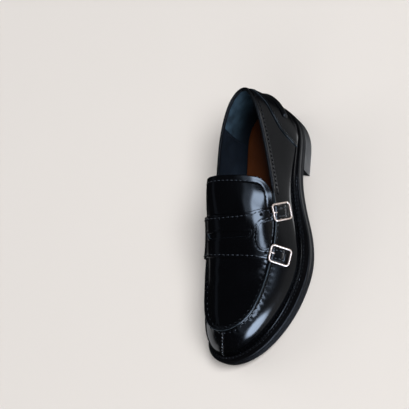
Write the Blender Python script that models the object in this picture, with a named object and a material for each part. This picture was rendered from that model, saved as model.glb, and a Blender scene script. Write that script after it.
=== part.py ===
"""Left loafer with a double-buckle saddle, built as separate parts.

Shoe coordinates are millimetres: u runs from the heel to the toe, v to the outer
(lateral) side, z up from the floor.  World coordinates are metres, with the toe at -Y
and the lateral side at +X.
"""
import math
from collections import namedtuple

import bmesh
import bpy
import numpy as np

MM = 0.001

# ---------------------------------------------------------------- driving sizes (mm)
OUTSOLE_THICK = 6.2
WELT_THICK = 5.1
CURVED_GAP = 0.3
SOLE_THICK = OUTSOLE_THICK + CURVED_GAP + WELT_THICK
HEEL_PLANE = 14.2            # underside of the outsole over the heel
TOP_PIECE_THICK = 5.6
HEEL_BREAST_U = 71.0
WAIST_START_U = 74.0
TREAD_START_U = 143.0        # the forefoot lies flat from here ...
TREAD_END_U = 203.0          # ... to here
TOE_SPRING = 11.6
TOE_TIP_U = 268.3
WELT_STEP = 1.1              # side step between outsole and welt
BED_INSET = 13.0             # raised centre of the outsole inside the welt

WALL = 2.0                   # leather and lining of the upper
RIDGE_HEIGHT = 2.3           # raised apron seam
RIDGE_HALF = 2.6
BAND_WIDTH = 7.5             # folded band along the topline
BAND_STEP = 0.7
PLUG_END = 139.0             # station where the apron ends under the saddle
THROAT = 118.0               # station where the apron seam meets the topline
TONGUE_THICK = 2.4
TONGUE_TOP = 98.0
TONGUE_LATERAL = 0.985        # reach of the tongue's sides, as a share of the instep
TONGUE_MEDIAL = 0.98
TIP_DROOP = 1.5               # how far its lateral corner bends down
TONGUE_FLANK = 1.2           # how far its lateral flank stands proud

SADDLE_THICK = 1.7
SADDLE_LIFT = 0.35
COUNTER_THICK = 1.2
TAB_THICK = 2.2
TAB_REACH = 43.0

INSOLE_THICK = 3.0
FRAME_LENGTH = 23.5
FRAME_WIDTH = 18.0
WIRE_RADIUS = 0.9
FRAME_LIFT = 4.1
FRAME_TILT = 0.07
BAR_LIFT = 1.85
BAR_PLACE = -1.5
BAR_RADIUS = 0.68
PRONG_RADIUS = 0.65
STRAP_RISE = 2.7

RING_REAR = 17               # sections from the heel back to the throat, each side
RING_APRON = 22              # sections from the throat to the toe, each side
PLUG_COLUMNS = 12

Y_TOE_SHIFT = 132.2          # puts the middle of the length on the origin
X_SHIFT = 5.62               # puts the middle of the width on the origin

# One row for each section round the shoe, from the heel back along the lateral side to
# the toe and back along the medial side.  sole_u, sole_v: edge of the sole; welt: how far
# the upper stands inside it; top_u, top_v, top_z: topline or apron seam; foot_lean and
# top_lean: outward lean of the wall at its foot and at its top edge; reach: fullness.
Section = namedtuple(
    "Section", "sole_u sole_v welt top_u top_v top_z foot_lean top_lean reach")
SECTIONS = [
    Section(-1.0, -1.5, 2.6, 5.8, 1.2, 88.3, 0.12, 0.26, 0.38),      # heel back
    Section(4.4, 14.0, 2.6, 11.2, 9.6, 87.7, 0.12, 0.26, 0.38),
    Section(15.0, 24.8, 2.6, 20.0, 14.8, 85.6, 0.12, 0.27, 0.37),
    Section(32.0, 33.6, 2.8, 34.0, 18.8, 81.0, 0.10, 0.28, 0.36),    # heel, lateral
    Section(56.0, 36.0, 3.4, 54.0, 21.8, 72.9, 0.06, 0.32, 0.35),
    Section(84.0, 37.3, 5.1, 80.0, 25.8, 65.0, 0.16, 0.34, 0.35),    # waist, lateral
    Section(110.0, 40.2, 7.3, 106.0, 29.6, 58.2, 0.26, 0.42, 0.35),
    Section(134.0, 45.4, 8.7, 131.0, 31.0, 50.8, 0.22, 0.60, 0.35),
    Section(156.0, 49.7, 9.5, 154.0, 29.4, 46.0, 0.18, 0.62, 0.38),  # ball, lateral
    Section(178.2, 49.2, 9.7, 176.0, 25.6, 43.4, 0.18, 0.66, 0.39),
    Section(199.7, 43.2, 9.5, 196.0, 21.4, 43.2, 0.18, 0.72, 0.40),
    Section(219.0, 34.5, 9.4, 214.5, 15.8, 44.0, 0.18, 0.88, 0.40),
    Section(237.1, 23.6, 9.3, 229.0, 7.8, 45.6, 0.20, 1.10, 0.39),
    Section(253.6, 10.0, 9.6, 238.2, -2.6, 47.4, 0.22, 1.40, 0.38),
    Section(265.2, -7.2, 9.6, 242.2, -12.4, 48.5, 0.24, 1.50, 0.38),
    Section(268.6, -26.0, 8.2, 241.8, -21.0, 48.9, 0.24, 1.45, 0.38),  # toe
    Section(262.2, -43.0, 6.6, 238.0, -29.8, 48.8, 0.22, 1.25, 0.38),
    Section(252.0, -52.4, 7.7, 231.4, -35.4, 48.6, 0.20, 1.20, 0.40),
    Section(236.0, -57.2, 7.6, 220.6, -39.0, 48.6, 0.20, 1.00, 0.39),
    Section(217.0, -59.2, 7.6, 206.0, -40.6, 49.0, 0.22, 0.70, 0.36),
    Section(198.0, -58.6, 7.6, 190.0, -41.4, 50.2, 0.24, 0.55, 0.36),  # ball, medial
    Section(178.0, -55.4, 7.6, 173.0, -41.0, 52.2, 0.28, 0.42, 0.35),
    Section(156.0, -49.2, 7.6, 154.0, -39.4, 55.0, 0.36, 0.28, 0.35),
    Section(132.0, -40.8, 7.2, 132.0, -37.0, 58.8, 0.44, 0.18, 0.35),
    Section(105.0, -32.4, 6.2, 107.0, -34.4, 63.6, 0.46, 0.12, 0.35),  # waist, medial
    Section(77.0, -29.8, 4.4, 81.0, -31.8, 69.0, 0.36, 0.12, 0.35),
    Section(50.0, -30.4, 3.2, 55.5, -28.3, 75.2, 0.20, 0.16, 0.35),
    Section(27.0, -29.4, 2.8, 35.0, -22.4, 80.8, 0.14, 0.22, 0.36),  # heel, medial
    Section(10.5, -21.8, 2.6, 19.2, -14.2, 86.0, 0.12, 0.24, 0.37),
    Section(2.4, -12.2, 2.6, 10.0, -6.8, 87.7, 0.12, 0.26, 0.38),
]

# Cross-sections over the instep, from the toe back to the tongue's tip.  station: u of
# the section; crown_z: its highest point; lateral_in, medial_in: how far the curve leans
# inward at each edge, as a share of the section's width.
Crown = namedtuple("Crown", "station crown_z lateral_in medial_in")
CROWNS = [
    Crown(243.0, 49.4, 0.34, 0.30),
    Crown(232.0, 52.4, 0.38, 0.29),
    Crown(215.0, 54.8, 0.40, 0.26),
    Crown(198.0, 57.0, 0.41, 0.22),
    Crown(185.0, 61.0, 0.40, 0.17),
    Crown(170.0, 67.2, 0.29, 0.11),
    Crown(150.0, 75.8, 0.18, 0.03),
    Crown(130.0, 83.4, 0.21, -0.05),
    Crown(112.0, 88.4, 0.34, -0.10),
    Crown(92.0, 92.4, 0.36, -0.12),
]

# Height of the counter's edge, as a share of the wall, against the distance along the
# wall from the heel back (mm).
CounterEdge = namedtuple("CounterEdge", "distance share")
COUNTER_EDGE = [
    CounterEdge(0.0, 0.82), CounterEdge(15.0, 0.78), CounterEdge(30.0, 0.71),
    CounterEdge(43.0, 0.655), CounterEdge(53.0, 0.58), CounterEdge(59.5, 0.48),
    CounterEdge(64.0, 0.34), CounterEdge(66.5, 0.19), CounterEdge(68.0, 0.03),
]

COLOURS = {
    "black_leather": ((0.012, 0.013, 0.016, 1.0), 0.22, 0.0),
    "sole_rubber": ((0.020, 0.020, 0.022, 1.0), 0.55, 0.0),
    "heel_stack": ((0.022, 0.022, 0.024, 1.0), 0.50, 0.0),
    "sock_leather": ((0.19, 0.075, 0.030, 1.0), 0.55, 0.0),
    "rose_nickel": ((0.72, 0.60, 0.54, 1.0), 0.25, 1.0),
}


# ---------------------------------------------------------------- curves from the tables
def periodic_second_derivatives(knots, values):
    """Second derivatives of the closed cubic spline through values at knots."""
    count = len(knots) - 1
    step = np.diff(knots)
    matrix = np.zeros((count, count))
    right = np.zeros((count, values.shape[1]))
    for row in range(count):
        before = step[row - 1]
        after = step[row]
        matrix[row, (row - 1) % count] += before
        matrix[row, row] += 2.0 * (before + after)
        matrix[row, (row + 1) % count] += after
        rise_after = (values[(row + 1) % count] - values[row]) / after
        rise_before = (values[row] - values[row - 1]) / before
        right[row] = 6.0 * (rise_after - rise_before)
    return np.linalg.solve(matrix, right)


class ClosedSpline:
    """All columns of SECTIONS as smooth closed functions of t in 0..1."""

    def __init__(self, rows):
        self.values = np.array(rows, dtype=float)
        loop = np.vstack([self.values, self.values[:1]])
        chords = np.hypot(*np.diff(loop[:, :2], axis=0).T)
        self.knots = np.concatenate([[0.0], np.cumsum(chords)])
        self.length = self.knots[-1]
        self.bend = periodic_second_derivatives(self.knots, self.values)

    def __call__(self, t):
        place = np.mod(np.asarray(t, dtype=float), 1.0) * self.length
        left = np.clip(np.searchsorted(self.knots, place, side="right") - 1,
                       0, len(self.values) - 1)
        right = (left + 1) % len(self.values)
        step = self.knots[left + 1] - self.knots[left]
        b = ((place - self.knots[left]) / step)[..., None]
        a = 1.0 - b
        scale = (step ** 2 / 6.0)[..., None]
        return (a * self.values[left] + b * self.values[right]
                + ((a ** 3 - a) * self.bend[left] + (b ** 3 - b) * self.bend[right]) * scale)


AROUND = ClosedSpline(SECTIONS)


def smooth_step(x):
    x = np.clip(x, 0.0, 1.0)
    return x * x * (3.0 - 2.0 * x)


def smooth_table(rows, x):
    """Smooth reading of a table: cubic Hermite pieces with averaged slopes."""
    table = np.array(rows, dtype=float)
    order = np.argsort(table[:, 0])
    xs = table[order, 0]
    ys = table[order, 1:]
    slopes = np.gradient(ys, xs, axis=0)
    x = np.clip(np.asarray(x, dtype=float), xs[0], xs[-1])
    left = np.clip(np.searchsorted(xs, x, side="right") - 1, 0, len(xs) - 2)
    step = (xs[left + 1] - xs[left])[..., None]
    s = (x - xs[left])[..., None] / step
    return (ys[left] * (1 + 2 * s) * (1 - s) ** 2 + ys[left + 1] * s ** 2 * (3 - 2 * s)
            + slopes[left] * step * s * (1 - s) ** 2
            - slopes[left + 1] * step * s ** 2 * (1 - s))


def sole_underside(u):
    """Height of the outsole's underside: heel seat, arch, flat tread and toe spring."""
    arch = 1.0 - smooth_step((u - WAIST_START_U) / (TREAD_START_U - WAIST_START_U))
    toe = np.clip((u - TREAD_END_U) / (TOE_TIP_U - TREAD_END_U), 0.0, 1.0)
    return HEEL_PLANE * arch + TOE_SPRING * toe ** 2


def sole_edge(t, inset=0.0):
    """Points (u, v) of the sole's edge, moved inward by inset."""
    here = AROUND(t)[..., :2]
    ahead = AROUND(np.asarray(t) + 0.002)[..., :2]
    behind = AROUND(np.asarray(t) - 0.002)[..., :2]
    run = ahead - behind
    run = run / np.linalg.norm(run, axis=-1, keepdims=True)
    outward = np.stack([-run[..., 1], run[..., 0]], axis=-1)
    return here - outward * np.asarray(inset)[..., None], outward


def wall(t, h):
    """The upper's outer wall: h = 0 at its foot, h = 1 at the topline or apron seam."""
    row = AROUND(t)
    foot_uv, outward = sole_edge(t, row[..., 2])
    foot_z = sole_underside(foot_uv[..., 0]) + SOLE_THICK + CURVED_GAP
    foot = np.concatenate([foot_uv, foot_z[..., None]], axis=-1)
    top = row[..., 3:6]
    out = np.concatenate([outward, np.zeros_like(foot_z)[..., None]], axis=-1)
    up = np.array([0.0, 0.0, 1.0])
    span = np.linalg.norm(top - foot, axis=-1, keepdims=True) * row[..., 8:9]
    foot_way = up + row[..., 6:7] * out
    top_way = row[..., 7:8] * out - up
    foot_way = foot_way / np.linalg.norm(foot_way, axis=-1, keepdims=True)
    top_way = top_way / np.linalg.norm(top_way, axis=-1, keepdims=True)
    h = np.asarray(h, dtype=float)[..., None]
    k = 1.0 - h
    return (foot * k ** 3 + (foot + foot_way * span) * 3 * k * k * h
            + (top + top_way * span) * 3 * k * h * h + top * h ** 3)


def unit_normal(surface, a, b, step_a=0.004, step_b=0.02):
    """Outward unit normal of a surface given as a function of two parameters."""
    along_a = surface(a + step_a, b) - surface(a - step_a, b)
    along_b = surface(a, b + step_b) - surface(a, b - step_b)
    normal = np.cross(along_b, along_a)
    length = np.linalg.norm(normal, axis=-1, keepdims=True)
    return normal / np.maximum(length, 1e-9)


def find_toe():
    t = np.linspace(0.3, 0.7, 801)
    top = AROUND(t)[:, 3:5]
    return float(t[np.argmax(top[:, 0])])


TOE_T = find_toe()


def edge_at_station(side):
    """t of the top edge on one side (+1 lateral, -1 medial) as a function of u."""
    if side > 0:
        t = np.linspace(TOE_T, 0.03, 600)
    else:
        t = np.linspace(TOE_T, 0.97, 600)
    return t, AROUND(t)[:, 3:6]


LATERAL_T, LATERAL_TOP = edge_at_station(1)
MEDIAL_T, MEDIAL_TOP = edge_at_station(-1)


def run_length(points):
    return np.concatenate([[0.0], np.cumsum(np.linalg.norm(np.diff(points, axis=0), axis=1))])


LATERAL_RUN = run_length(LATERAL_TOP)
MEDIAL_RUN = run_length(MEDIAL_TOP)
LATERAL_THROAT = float(np.interp(-THROAT, -LATERAL_TOP[:, 0], LATERAL_RUN))
MEDIAL_THROAT = float(np.interp(-THROAT, -MEDIAL_TOP[:, 0], MEDIAL_RUN))


def edge_t(k, side):
    """t on the top edge at share k of the way from the toe (0) to the throat (1)."""
    if side > 0:
        return np.interp(np.asarray(k) * LATERAL_THROAT, LATERAL_RUN, LATERAL_T)
    return np.interp(np.asarray(k) * MEDIAL_THROAT, MEDIAL_RUN, MEDIAL_T)


def section_middle_u(k):
    lateral = AROUND(edge_t(k, 1))[..., 3]
    medial = AROUND(edge_t(k, -1))[..., 3]
    return 0.5 * (lateral + medial)


K_TABLE = np.linspace(0.0, 1.45, 400)
U_TABLE = section_middle_u(K_TABLE)


def share_at(station):
    return np.interp(-np.asarray(station, dtype=float), -U_TABLE, K_TABLE)


def instep(k, w):
    """The apron, instep and tongue: w = -1 at the medial edge, 1 at the lateral edge."""
    lateral = AROUND(edge_t(k, 1))[..., 3:6]
    medial = AROUND(edge_t(k, -1))[..., 3:6]
    crown = smooth_table(CROWNS, 0.5 * (lateral[..., 0] + medial[..., 0]))
    width = np.linalg.norm(lateral - medial, axis=-1)
    rise = (crown[..., 0] - 0.5 * (lateral[..., 2] + medial[..., 2])) / 0.75
    rise = np.maximum(rise, 0.0) * smooth_step(width / 24.0)
    across = (lateral - medial) / np.maximum(width, 1e-6)[..., None]
    across[..., 2] = 0.0
    lift = np.zeros_like(lateral)
    lift[..., 2] = rise
    lateral_way = lift - across * (crown[..., 1] * width)[..., None]
    medial_way = lift + across * (crown[..., 2] * width)[..., None]
    s = (0.5 * (1.0 - np.asarray(w, dtype=float)))[..., None]
    r = 1.0 - s
    return (lateral * r ** 3 + (lateral + lateral_way) * 3 * r * r * s
            + (medial + medial_way) * 3 * r * s * s + medial * s ** 3)


def girth(k, g):
    """Round the shoe at one section: medial wall -2..-1, instep -1..1, lateral wall 1..2."""
    k, g = np.broadcast_arrays(np.asarray(k, dtype=float), np.asarray(g, dtype=float))
    over = instep(k, np.clip(g, -1.0, 1.0))
    lateral = wall(edge_t(k, 1), np.clip(2.0 - g, 0.0, 1.0))
    medial = wall(edge_t(k, -1), np.clip(2.0 + g, 0.0, 1.0))
    return np.where((g > 1.0)[..., None], lateral, np.where((g < -1.0)[..., None], medial, over))


def lifted_girth(station, g, lift, over_ridge=0.0):
    """Point on the shoe lifted along its normal, and more so over the raised seam."""
    k = share_at(station)
    normal = unit_normal(girth, k, np.asarray(g, dtype=float), 0.012, 0.09)
    bump = over_ridge * np.exp(-((np.abs(g) - 1.0) / 0.13) ** 2)
    return girth(k, g) + normal * (lift + bump)[..., None]


# ---------------------------------------------------------------- building meshes
def to_world(points):
    points = np.asarray(points, dtype=float)
    return np.stack([points[..., 1] + X_SHIFT, Y_TOE_SHIFT - points[..., 0],
                     points[..., 2]], axis=-1) * MM


def material(name):
    found = bpy.data.materials.get(name)
    if found:
        return found
    colour, roughness, metallic = COLOURS[name]
    made = bpy.data.materials.new(name)
    made.use_nodes = True
    shader = made.node_tree.nodes["Principled BSDF"]
    shader.inputs["Base Color"].default_value = colour
    shader.inputs["Roughness"].default_value = roughness
    shader.inputs["Metallic"].default_value = metallic
    made.diffuse_color = colour
    return made


def make_object(name, points, faces, material_name, smooth=True):
    """One closed solid from points (mm, shoe coordinates) and faces."""
    mesh = bpy.data.meshes.new(name)
    mesh.from_pydata(to_world(points).tolist(), [], faces)
    work = bmesh.new()
    work.from_mesh(mesh)
    bmesh.ops.remove_doubles(work, verts=work.verts, dist=0.00001)
    bmesh.ops.recalc_face_normals(work, faces=work.faces)
    bmesh.ops.triangulate(work, faces=work.faces)
    work.to_mesh(mesh)
    work.free()
    mesh.polygons.foreach_set("use_smooth", [smooth] * len(mesh.polygons))
    mesh.materials.append(material(material_name))
    made = bpy.data.objects.new(name, mesh)
    bpy.context.scene.collection.objects.link(made)
    return made


class Shell:
    """Collects points and faces of one solid."""

    def __init__(self):
        self.points = []
        self.faces = []

    def add(self, rows):
        """Adds an array of points and returns their indices in the same layout."""
        rows = np.asarray(rows, dtype=float)
        start = len(self.points)
        flat = rows.reshape(-1, 3)
        self.points.extend(flat.tolist())
        return np.arange(start, start + len(flat)).reshape(rows.shape[:-1])

    def grid(self, index, close=False):
        """Quads over a 2-D block of indices, closed along the first axis if asked."""
        rows = index.shape[0]
        last = rows if close else rows - 1
        for i in range(last):
            j = (i + 1) % rows
            for c in range(index.shape[1] - 1):
                self.quad(index[i, c], index[j, c], index[j, c + 1], index[i, c + 1])

    def quad(self, a, b, c, d):
        corners = []
        for corner in (int(a), int(b), int(c), int(d)):
            if corner not in corners:
                corners.append(corner)
        if len(corners) > 2:
            self.faces.append(corners)


def strip_cap(shell, ring):
    """Closes a ring whose first point is at the heel and middle point at the toe."""
    count = len(ring)
    half = count // 2
    for i in range(half):
        shell.quad(ring[i], ring[i + 1], ring[(count - i - 1) % count], ring[(count - i) % count])


def ring_parameters():
    """Sections used by the upper and the sole: heel back, lateral, toe, medial."""
    throat_lateral = float(edge_t(1.0, 1))
    throat_medial = float(edge_t(1.0, -1))
    shares = np.linspace(1.0, 0.0, RING_APRON + 1)
    rear = np.linspace(0.0, throat_lateral, RING_REAR + 1)[:-1]
    front = edge_t(shares[:-1], 1)
    back_front = edge_t(shares[::-1], -1)
    back_rear = np.linspace(throat_medial, 1.0, RING_REAR + 1)[1:-1]
    return np.concatenate([rear, front, back_front, back_rear])


RING = ring_parameters()
RING_COUNT = len(RING)
PLUG_STEPS = int(round(float(share_at(PLUG_END)) * RING_APRON))


def stacked_rings(name, levels, material_name, cap_low=True, cap_high=True):
    """A closed solid from rings listed bottom to top; each level is an array of points."""
    shell = Shell()
    index = shell.add(np.stack(levels, axis=1))
    shell.grid(index, close=True)
    if cap_low:
        strip_cap(shell, index[:, 0])
    if cap_high:
        strip_cap(shell, index[:, -1])
    return make_object(name, shell.points, shell.faces, material_name)


def sole_ring(inset, height_above):
    """A ring of the sole's edge moved in by inset, height_above over the underside."""
    edge = sole_edge(RING, np.broadcast_to(inset, RING.shape))[0]
    height = sole_underside(edge[:, 0]) + height_above
    return np.column_stack([edge, height])


# ---------------------------------------------------------------- the parts
def build_outsole():
    side = WELT_STEP * 0.5
    levels = [
        sole_ring(side + 1.2, 0.0),
        sole_ring(side, 1.1),
        sole_ring(side, OUTSOLE_THICK),
        sole_ring(BED_INSET, OUTSOLE_THICK),
        sole_ring(BED_INSET, SOLE_THICK - 0.1),
    ]
    return stacked_rings("outsole", levels, "sole_rubber")


def build_welt():
    """A closed strip round the sole: its top carries the upper's edge."""
    low = OUTSOLE_THICK + CURVED_GAP
    inner = BED_INSET - CURVED_GAP
    levels = [
        sole_ring(inner, low), sole_ring(0.2, low), sole_ring(0.0, low + 1.2),
        sole_ring(0.0, SOLE_THICK - 1.0), sole_ring(0.9, SOLE_THICK),
        sole_ring(inner, SOLE_THICK),
    ]
    shell = Shell()
    index = shell.add(np.stack(levels + [levels[0]], axis=1))
    index[:, -1] = index[:, 0]
    shell.grid(index, close=True)
    return make_object("welt", shell.points, shell.faces, "sole_rubber")


def heel_outline(inset, breast_shift=0.0):
    """The heel's outline in plan: the sole's edge back to the concave breast."""
    t = np.linspace(-0.5, 0.5, 1601)
    edge = sole_edge(t, np.full(t.shape, inset))[0]
    breast = HEEL_BREAST_U + breast_shift
    keep = edge[:, 0] <= breast
    edge = edge[keep]
    medial = edge[:1]
    lateral = edge[-1:]
    back = edge[np.linspace(0, len(edge) - 1, 33).astype(int)]
    share = np.linspace(0.0, 1.0, 9)[1:-1, None]
    across = lateral + (medial - lateral) * share
    across[:, 0] -= 4.5 * np.sin(np.pi * share[:, 0])
    return np.vstack([back, across])


def build_heel_piece(name, low, high, low_inset, high_inset, low_shift, high_shift):
    shell = Shell()
    rings = []
    for z, inset, shift in ((low, low_inset, low_shift), (high, high_inset, high_shift)):
        outline = heel_outline(inset, shift)
        rings.append(np.column_stack([outline, np.full(len(outline), z)]))
    index = shell.add(np.stack(rings, axis=1))
    shell.grid(index, close=True)
    shell.faces.append([int(i) for i in index[::-1, 0]])
    shell.faces.append([int(i) for i in index[:, -1]])
    return make_object(name, shell.points, shell.faces, "heel_stack", smooth=False)


def build_heel():
    build_heel_piece("heel_top_piece", 0.0, TOP_PIECE_THICK, 1.6, 1.2, 0.0, -0.3)
    build_heel_piece("heel_block", TOP_PIECE_THICK, HEEL_PLANE, 1.1, 0.5, -0.3, -1.6)


def build_insole():
    """Insole and sock: fills the upper's underside inside its wall."""
    row = AROUND(RING)
    inset = row[:, 2] + WALL + CURVED_GAP + 0.5
    base = SOLE_THICK + CURVED_GAP
    levels = [
        sole_ring(inset, base),
        sole_ring(inset, base + INSOLE_THICK),
    ]
    return stacked_rings("insole", levels, "sock_leather")


WALL_ROWS = np.array([0.0, 0.13, 0.28, 0.45, 0.62, 0.77, 0.88])


def top_profile(t):
    """Shares h and outward lifts of the last rows: raised seam in front, band behind."""
    top = wall(t, np.ones_like(t))
    low = wall(t, np.full_like(t, 0.88))
    pace = 0.12 / np.linalg.norm(top - low, axis=-1)
    band_t = smooth_step((np.abs(t - TOE_T) - np.abs(float(edge_t(1.0, 1)) - TOE_T)) / 0.03)
    ridge_h = 1.0 - np.array([RIDGE_HALF * 1.3, RIDGE_HALF, RIDGE_HALF * 0.35, 0.0])[None] \
        * pace[:, None]
    ridge_lift = np.array([0.0, RIDGE_HEIGHT * 0.45, RIDGE_HEIGHT, RIDGE_HEIGHT * 0.9])
    band_h = 1.0 - np.array([BAND_WIDTH + 0.5, BAND_WIDTH - 0.3, 1.0, 0.0])[None] * pace[:, None]
    band_lift = np.array([0.0, BAND_STEP, BAND_STEP, BAND_STEP * 0.3])
    share = band_t[:, None]
    return (ridge_h * (1 - share) + band_h * share,
            ridge_lift[None] * (1 - share) + band_lift[None] * share)


def build_upper():
    """One hollow wall: quarters and vamp round the foot, apron over the toes."""
    shell = Shell()
    top_h, top_lift = top_profile(RING)
    columns_h = np.hstack([np.tile(WALL_ROWS[:-1], (RING_COUNT, 1)), top_h])
    columns_lift = np.hstack([np.zeros((RING_COUNT, len(WALL_ROWS) - 1)), top_lift])
    t = np.repeat(RING[:, None], columns_h.shape[1], axis=1)
    base = wall(t, columns_h)
    normal = unit_normal(wall, t, np.clip(columns_h, 0.03, 0.97))
    outer = base + normal * columns_lift[..., None]
    inner = base - normal * WALL
    toe = RING_REAR + RING_APRON
    plug_end = PLUG_STEPS
    steps = np.arange(0, plug_end + 1)
    shares = steps / RING_APRON
    edge = 2.0 * RIDGE_HALF / np.maximum(plug_width(shares), 1.0)
    edge = np.minimum(edge, 0.22)
    inner_w = np.linspace(-1.0, 1.0, PLUG_COLUMNS - 1)[None] * (1.0 - edge)[:, None]
    k_grid = np.repeat(shares[:, None], inner_w.shape[1], axis=1)
    plug = instep(k_grid, inner_w)
    plug_normal = unit_normal(instep, np.maximum(k_grid, 0.02), inner_w, 0.012, 0.05)
    plug_inner = plug - plug_normal * WALL
    seam_lift = edge_normal(outer, inner, base, plug_normal, toe, steps)
    outer[:, -1] = seam_lift[0]
    inner[:, -1] = seam_lift[1]
    outer_index = shell.add(outer)
    inner_index = shell.add(inner)
    shell.grid(outer_index, close=True)
    shell.grid(inner_index[:, ::-1], close=True)
    for layer, block, ring in ((0, plug, outer_index), (1, plug_inner, inner_index)):
        middle = shell.add(block[1:])
        rows = []
        for step in steps[1:]:
            lateral = ring[toe - step, -1]
            medial = ring[toe + step, -1]
            rows.append(np.concatenate([[medial], middle[step - 1], [lateral]]))
        tip = np.full(inner_w.shape[1] + 2, ring[toe, -1])
        block_index = np.vstack([tip, rows])
        shell.grid(block_index)
        if layer == 0:
            outer_throat = block_index[-1]
        else:
            inner_throat = block_index[-1]
    shell.grid(np.column_stack([outer_throat, inner_throat]))
    shell.grid(np.column_stack([outer_index[:, 0], inner_index[:, 0]]), close=True)
    free = np.concatenate([np.arange(toe + plug_end, RING_COUNT), np.arange(0, toe - plug_end + 1)])
    shell.grid(np.column_stack([outer_index[free, -1], inner_index[free, -1]]))
    return make_object("upper", shell.points, shell.faces, "black_leather")


def plug_width(shares):
    lateral = AROUND(edge_t(shares, 1))[..., 3:6]
    medial = AROUND(edge_t(shares, -1))[..., 3:6]
    return np.linalg.norm(lateral - medial, axis=-1)


def edge_normal(outer, inner, base, plug_normal, toe, steps):
    """Top-row points along the apron seam, lifted between the two surfaces' normals."""
    outer_top = outer[:, -1].copy()
    inner_top = inner[:, -1].copy()
    for side, column in ((-1, -1), (1, 0)):
        for step in steps:
            ring_place = toe + side * step
            wall_way = outer[ring_place, -1] - base[ring_place, -1]
            wall_way = wall_way / max(np.linalg.norm(wall_way), 1e-9)
            way = wall_way + plug_normal[step, column]
            way = way / np.linalg.norm(way)
            outer_top[ring_place] = base[ring_place, -1] + way * RIDGE_HEIGHT
            inner_top[ring_place] = base[ring_place, -1] - way * WALL
    return outer_top, inner_top


def sheet_solid(name, outer, inner, material_name, keep=None):
    """A closed sheet between two grids of points; keep marks the cells that exist."""
    shell = Shell()
    high = shell.add(outer)
    low = shell.add(inner)
    rows, columns = high.shape
    if keep is None:
        keep = np.ones((rows - 1, columns - 1), dtype=bool)
    solid = np.zeros((rows + 1, columns + 1), dtype=bool)
    solid[1:rows, 1:columns] = keep
    for i in range(rows - 1):
        for j in range(columns - 1):
            if not keep[i, j]:
                continue
            shell.quad(high[i, j], high[i + 1, j], high[i + 1, j + 1], high[i, j + 1])
            shell.quad(low[i, j], low[i, j + 1], low[i + 1, j + 1], low[i + 1, j])
            if not solid[i, j + 1]:
                shell.quad(high[i, j], high[i, j + 1], low[i, j + 1], low[i, j])
            if not solid[i + 2, j + 1]:
                shell.quad(high[i + 1, j + 1], high[i + 1, j], low[i + 1, j], low[i + 1, j + 1])
            if not solid[i + 1, j]:
                shell.quad(high[i + 1, j], high[i, j], low[i, j], low[i + 1, j])
            if not solid[i + 1, j + 2]:
                shell.quad(high[i, j + 1], high[i + 1, j + 1], low[i + 1, j + 1], low[i, j + 1])
    made = make_object(name, shell.points, shell.faces, material_name)
    return made


def tongue_grid():
    """Stations and girth places of the tongue, with rounded upper corners."""
    start = float(section_middle_u(PLUG_STEPS / RING_APRON)) - 1.5
    down = TONGUE_TOP + np.array([33.0, 26.0, 19.0, 13.5, 9.0, 5.5, 3.0, 1.0, 0.0])
    down = np.concatenate([[start], down])
    across = np.linspace(-1.0, 1.0, 17)
    corner = 14.0
    away = np.clip((TONGUE_TOP + corner - down) / corner, 0.0, 1.0)
    round_off = (1.0 - np.sqrt(1.0 - away ** 2))[:, None]
    trim = 1.0 - np.where(across > 0.0, 0.24, 0.34) * round_off
    g = across * np.where(across > 0.0, TONGUE_LATERAL, TONGUE_MEDIAL) * trim
    stand_back = 1.8 * smooth_step(g / 0.7) * away[:, None]
    return down[:, None] - stand_back, g


def build_tongue():
    station, g = tongue_grid()
    free = 1.0 - smooth_step((station - TONGUE_TOP - 10.0) / 18.0)
    flank = TONGUE_FLANK * free * (np.clip(g - 0.42, 0.0, 1.0) / 0.50) ** 1.5
    droop = TIP_DROOP * smooth_step((g + 0.1) / 0.6) * smooth_step(1.0 - (station - TONGUE_TOP) / 17.0)
    lift = flank - droop - (WALL + 0.5) * smooth_step((-0.82 - g) / 0.14)
    return sheet_solid("tongue", lifted_girth(station, g, lift),
                       lifted_girth(station, g, lift - TONGUE_THICK), "black_leather")


# Rows of the saddle, from its toe-side edge to its heel-side edge, at girth places from
# the medial welt to the strap ends.  front, back: its edges; low_top, high_bottom: edges
# of the gap between the two straps; the slot lies between slot_front and slot_back.
SaddleRow = namedtuple("SaddleRow", "g front low_top slot_front slot_back high_bottom back")
SADDLE = [
    SaddleRow(-1.93, 170.5, 162.0, 156.0, 152.0, 142.0, 132.5),
    SaddleRow(-1.0, 171.0, 163.0, 156.0, 152.0, 142.0, 133.0),
    SaddleRow(-0.48, 173.4, 164.0, 156.6, 151.6, 142.5, 135.0),
    SaddleRow(0.0, 174.5, 165.0, 156.8, 151.4, 143.0, 136.0),
    SaddleRow(0.50, 173.8, 163.0, 155.0, 150.0, 143.6, 132.2),
    SaddleRow(0.64, 173.4, 157.5, 155.0, 150.0, 146.6, 129.4),
    SaddleRow(0.71, 173.2, 161.8, 155.0, 150.0, 141.9, 127.9),
    SaddleRow(0.80, 173.0, 162.6, 155.0, 150.0, 138.8, 126.0),
    SaddleRow(1.0, 172.8, 160.3, 154.0, 149.0, 134.4, 121.9),
    SaddleRow(1.22, 172.6, 160.1, 154.0, 149.0, 130.6, 118.1),
    SaddleRow(1.40, 173.2, 160.7, 154.0, 149.0, 127.2, 114.7),
]
SLOT_FROM = -0.50
SLOT_TO = 0.50
GAP_FROM = 0.64


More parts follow.
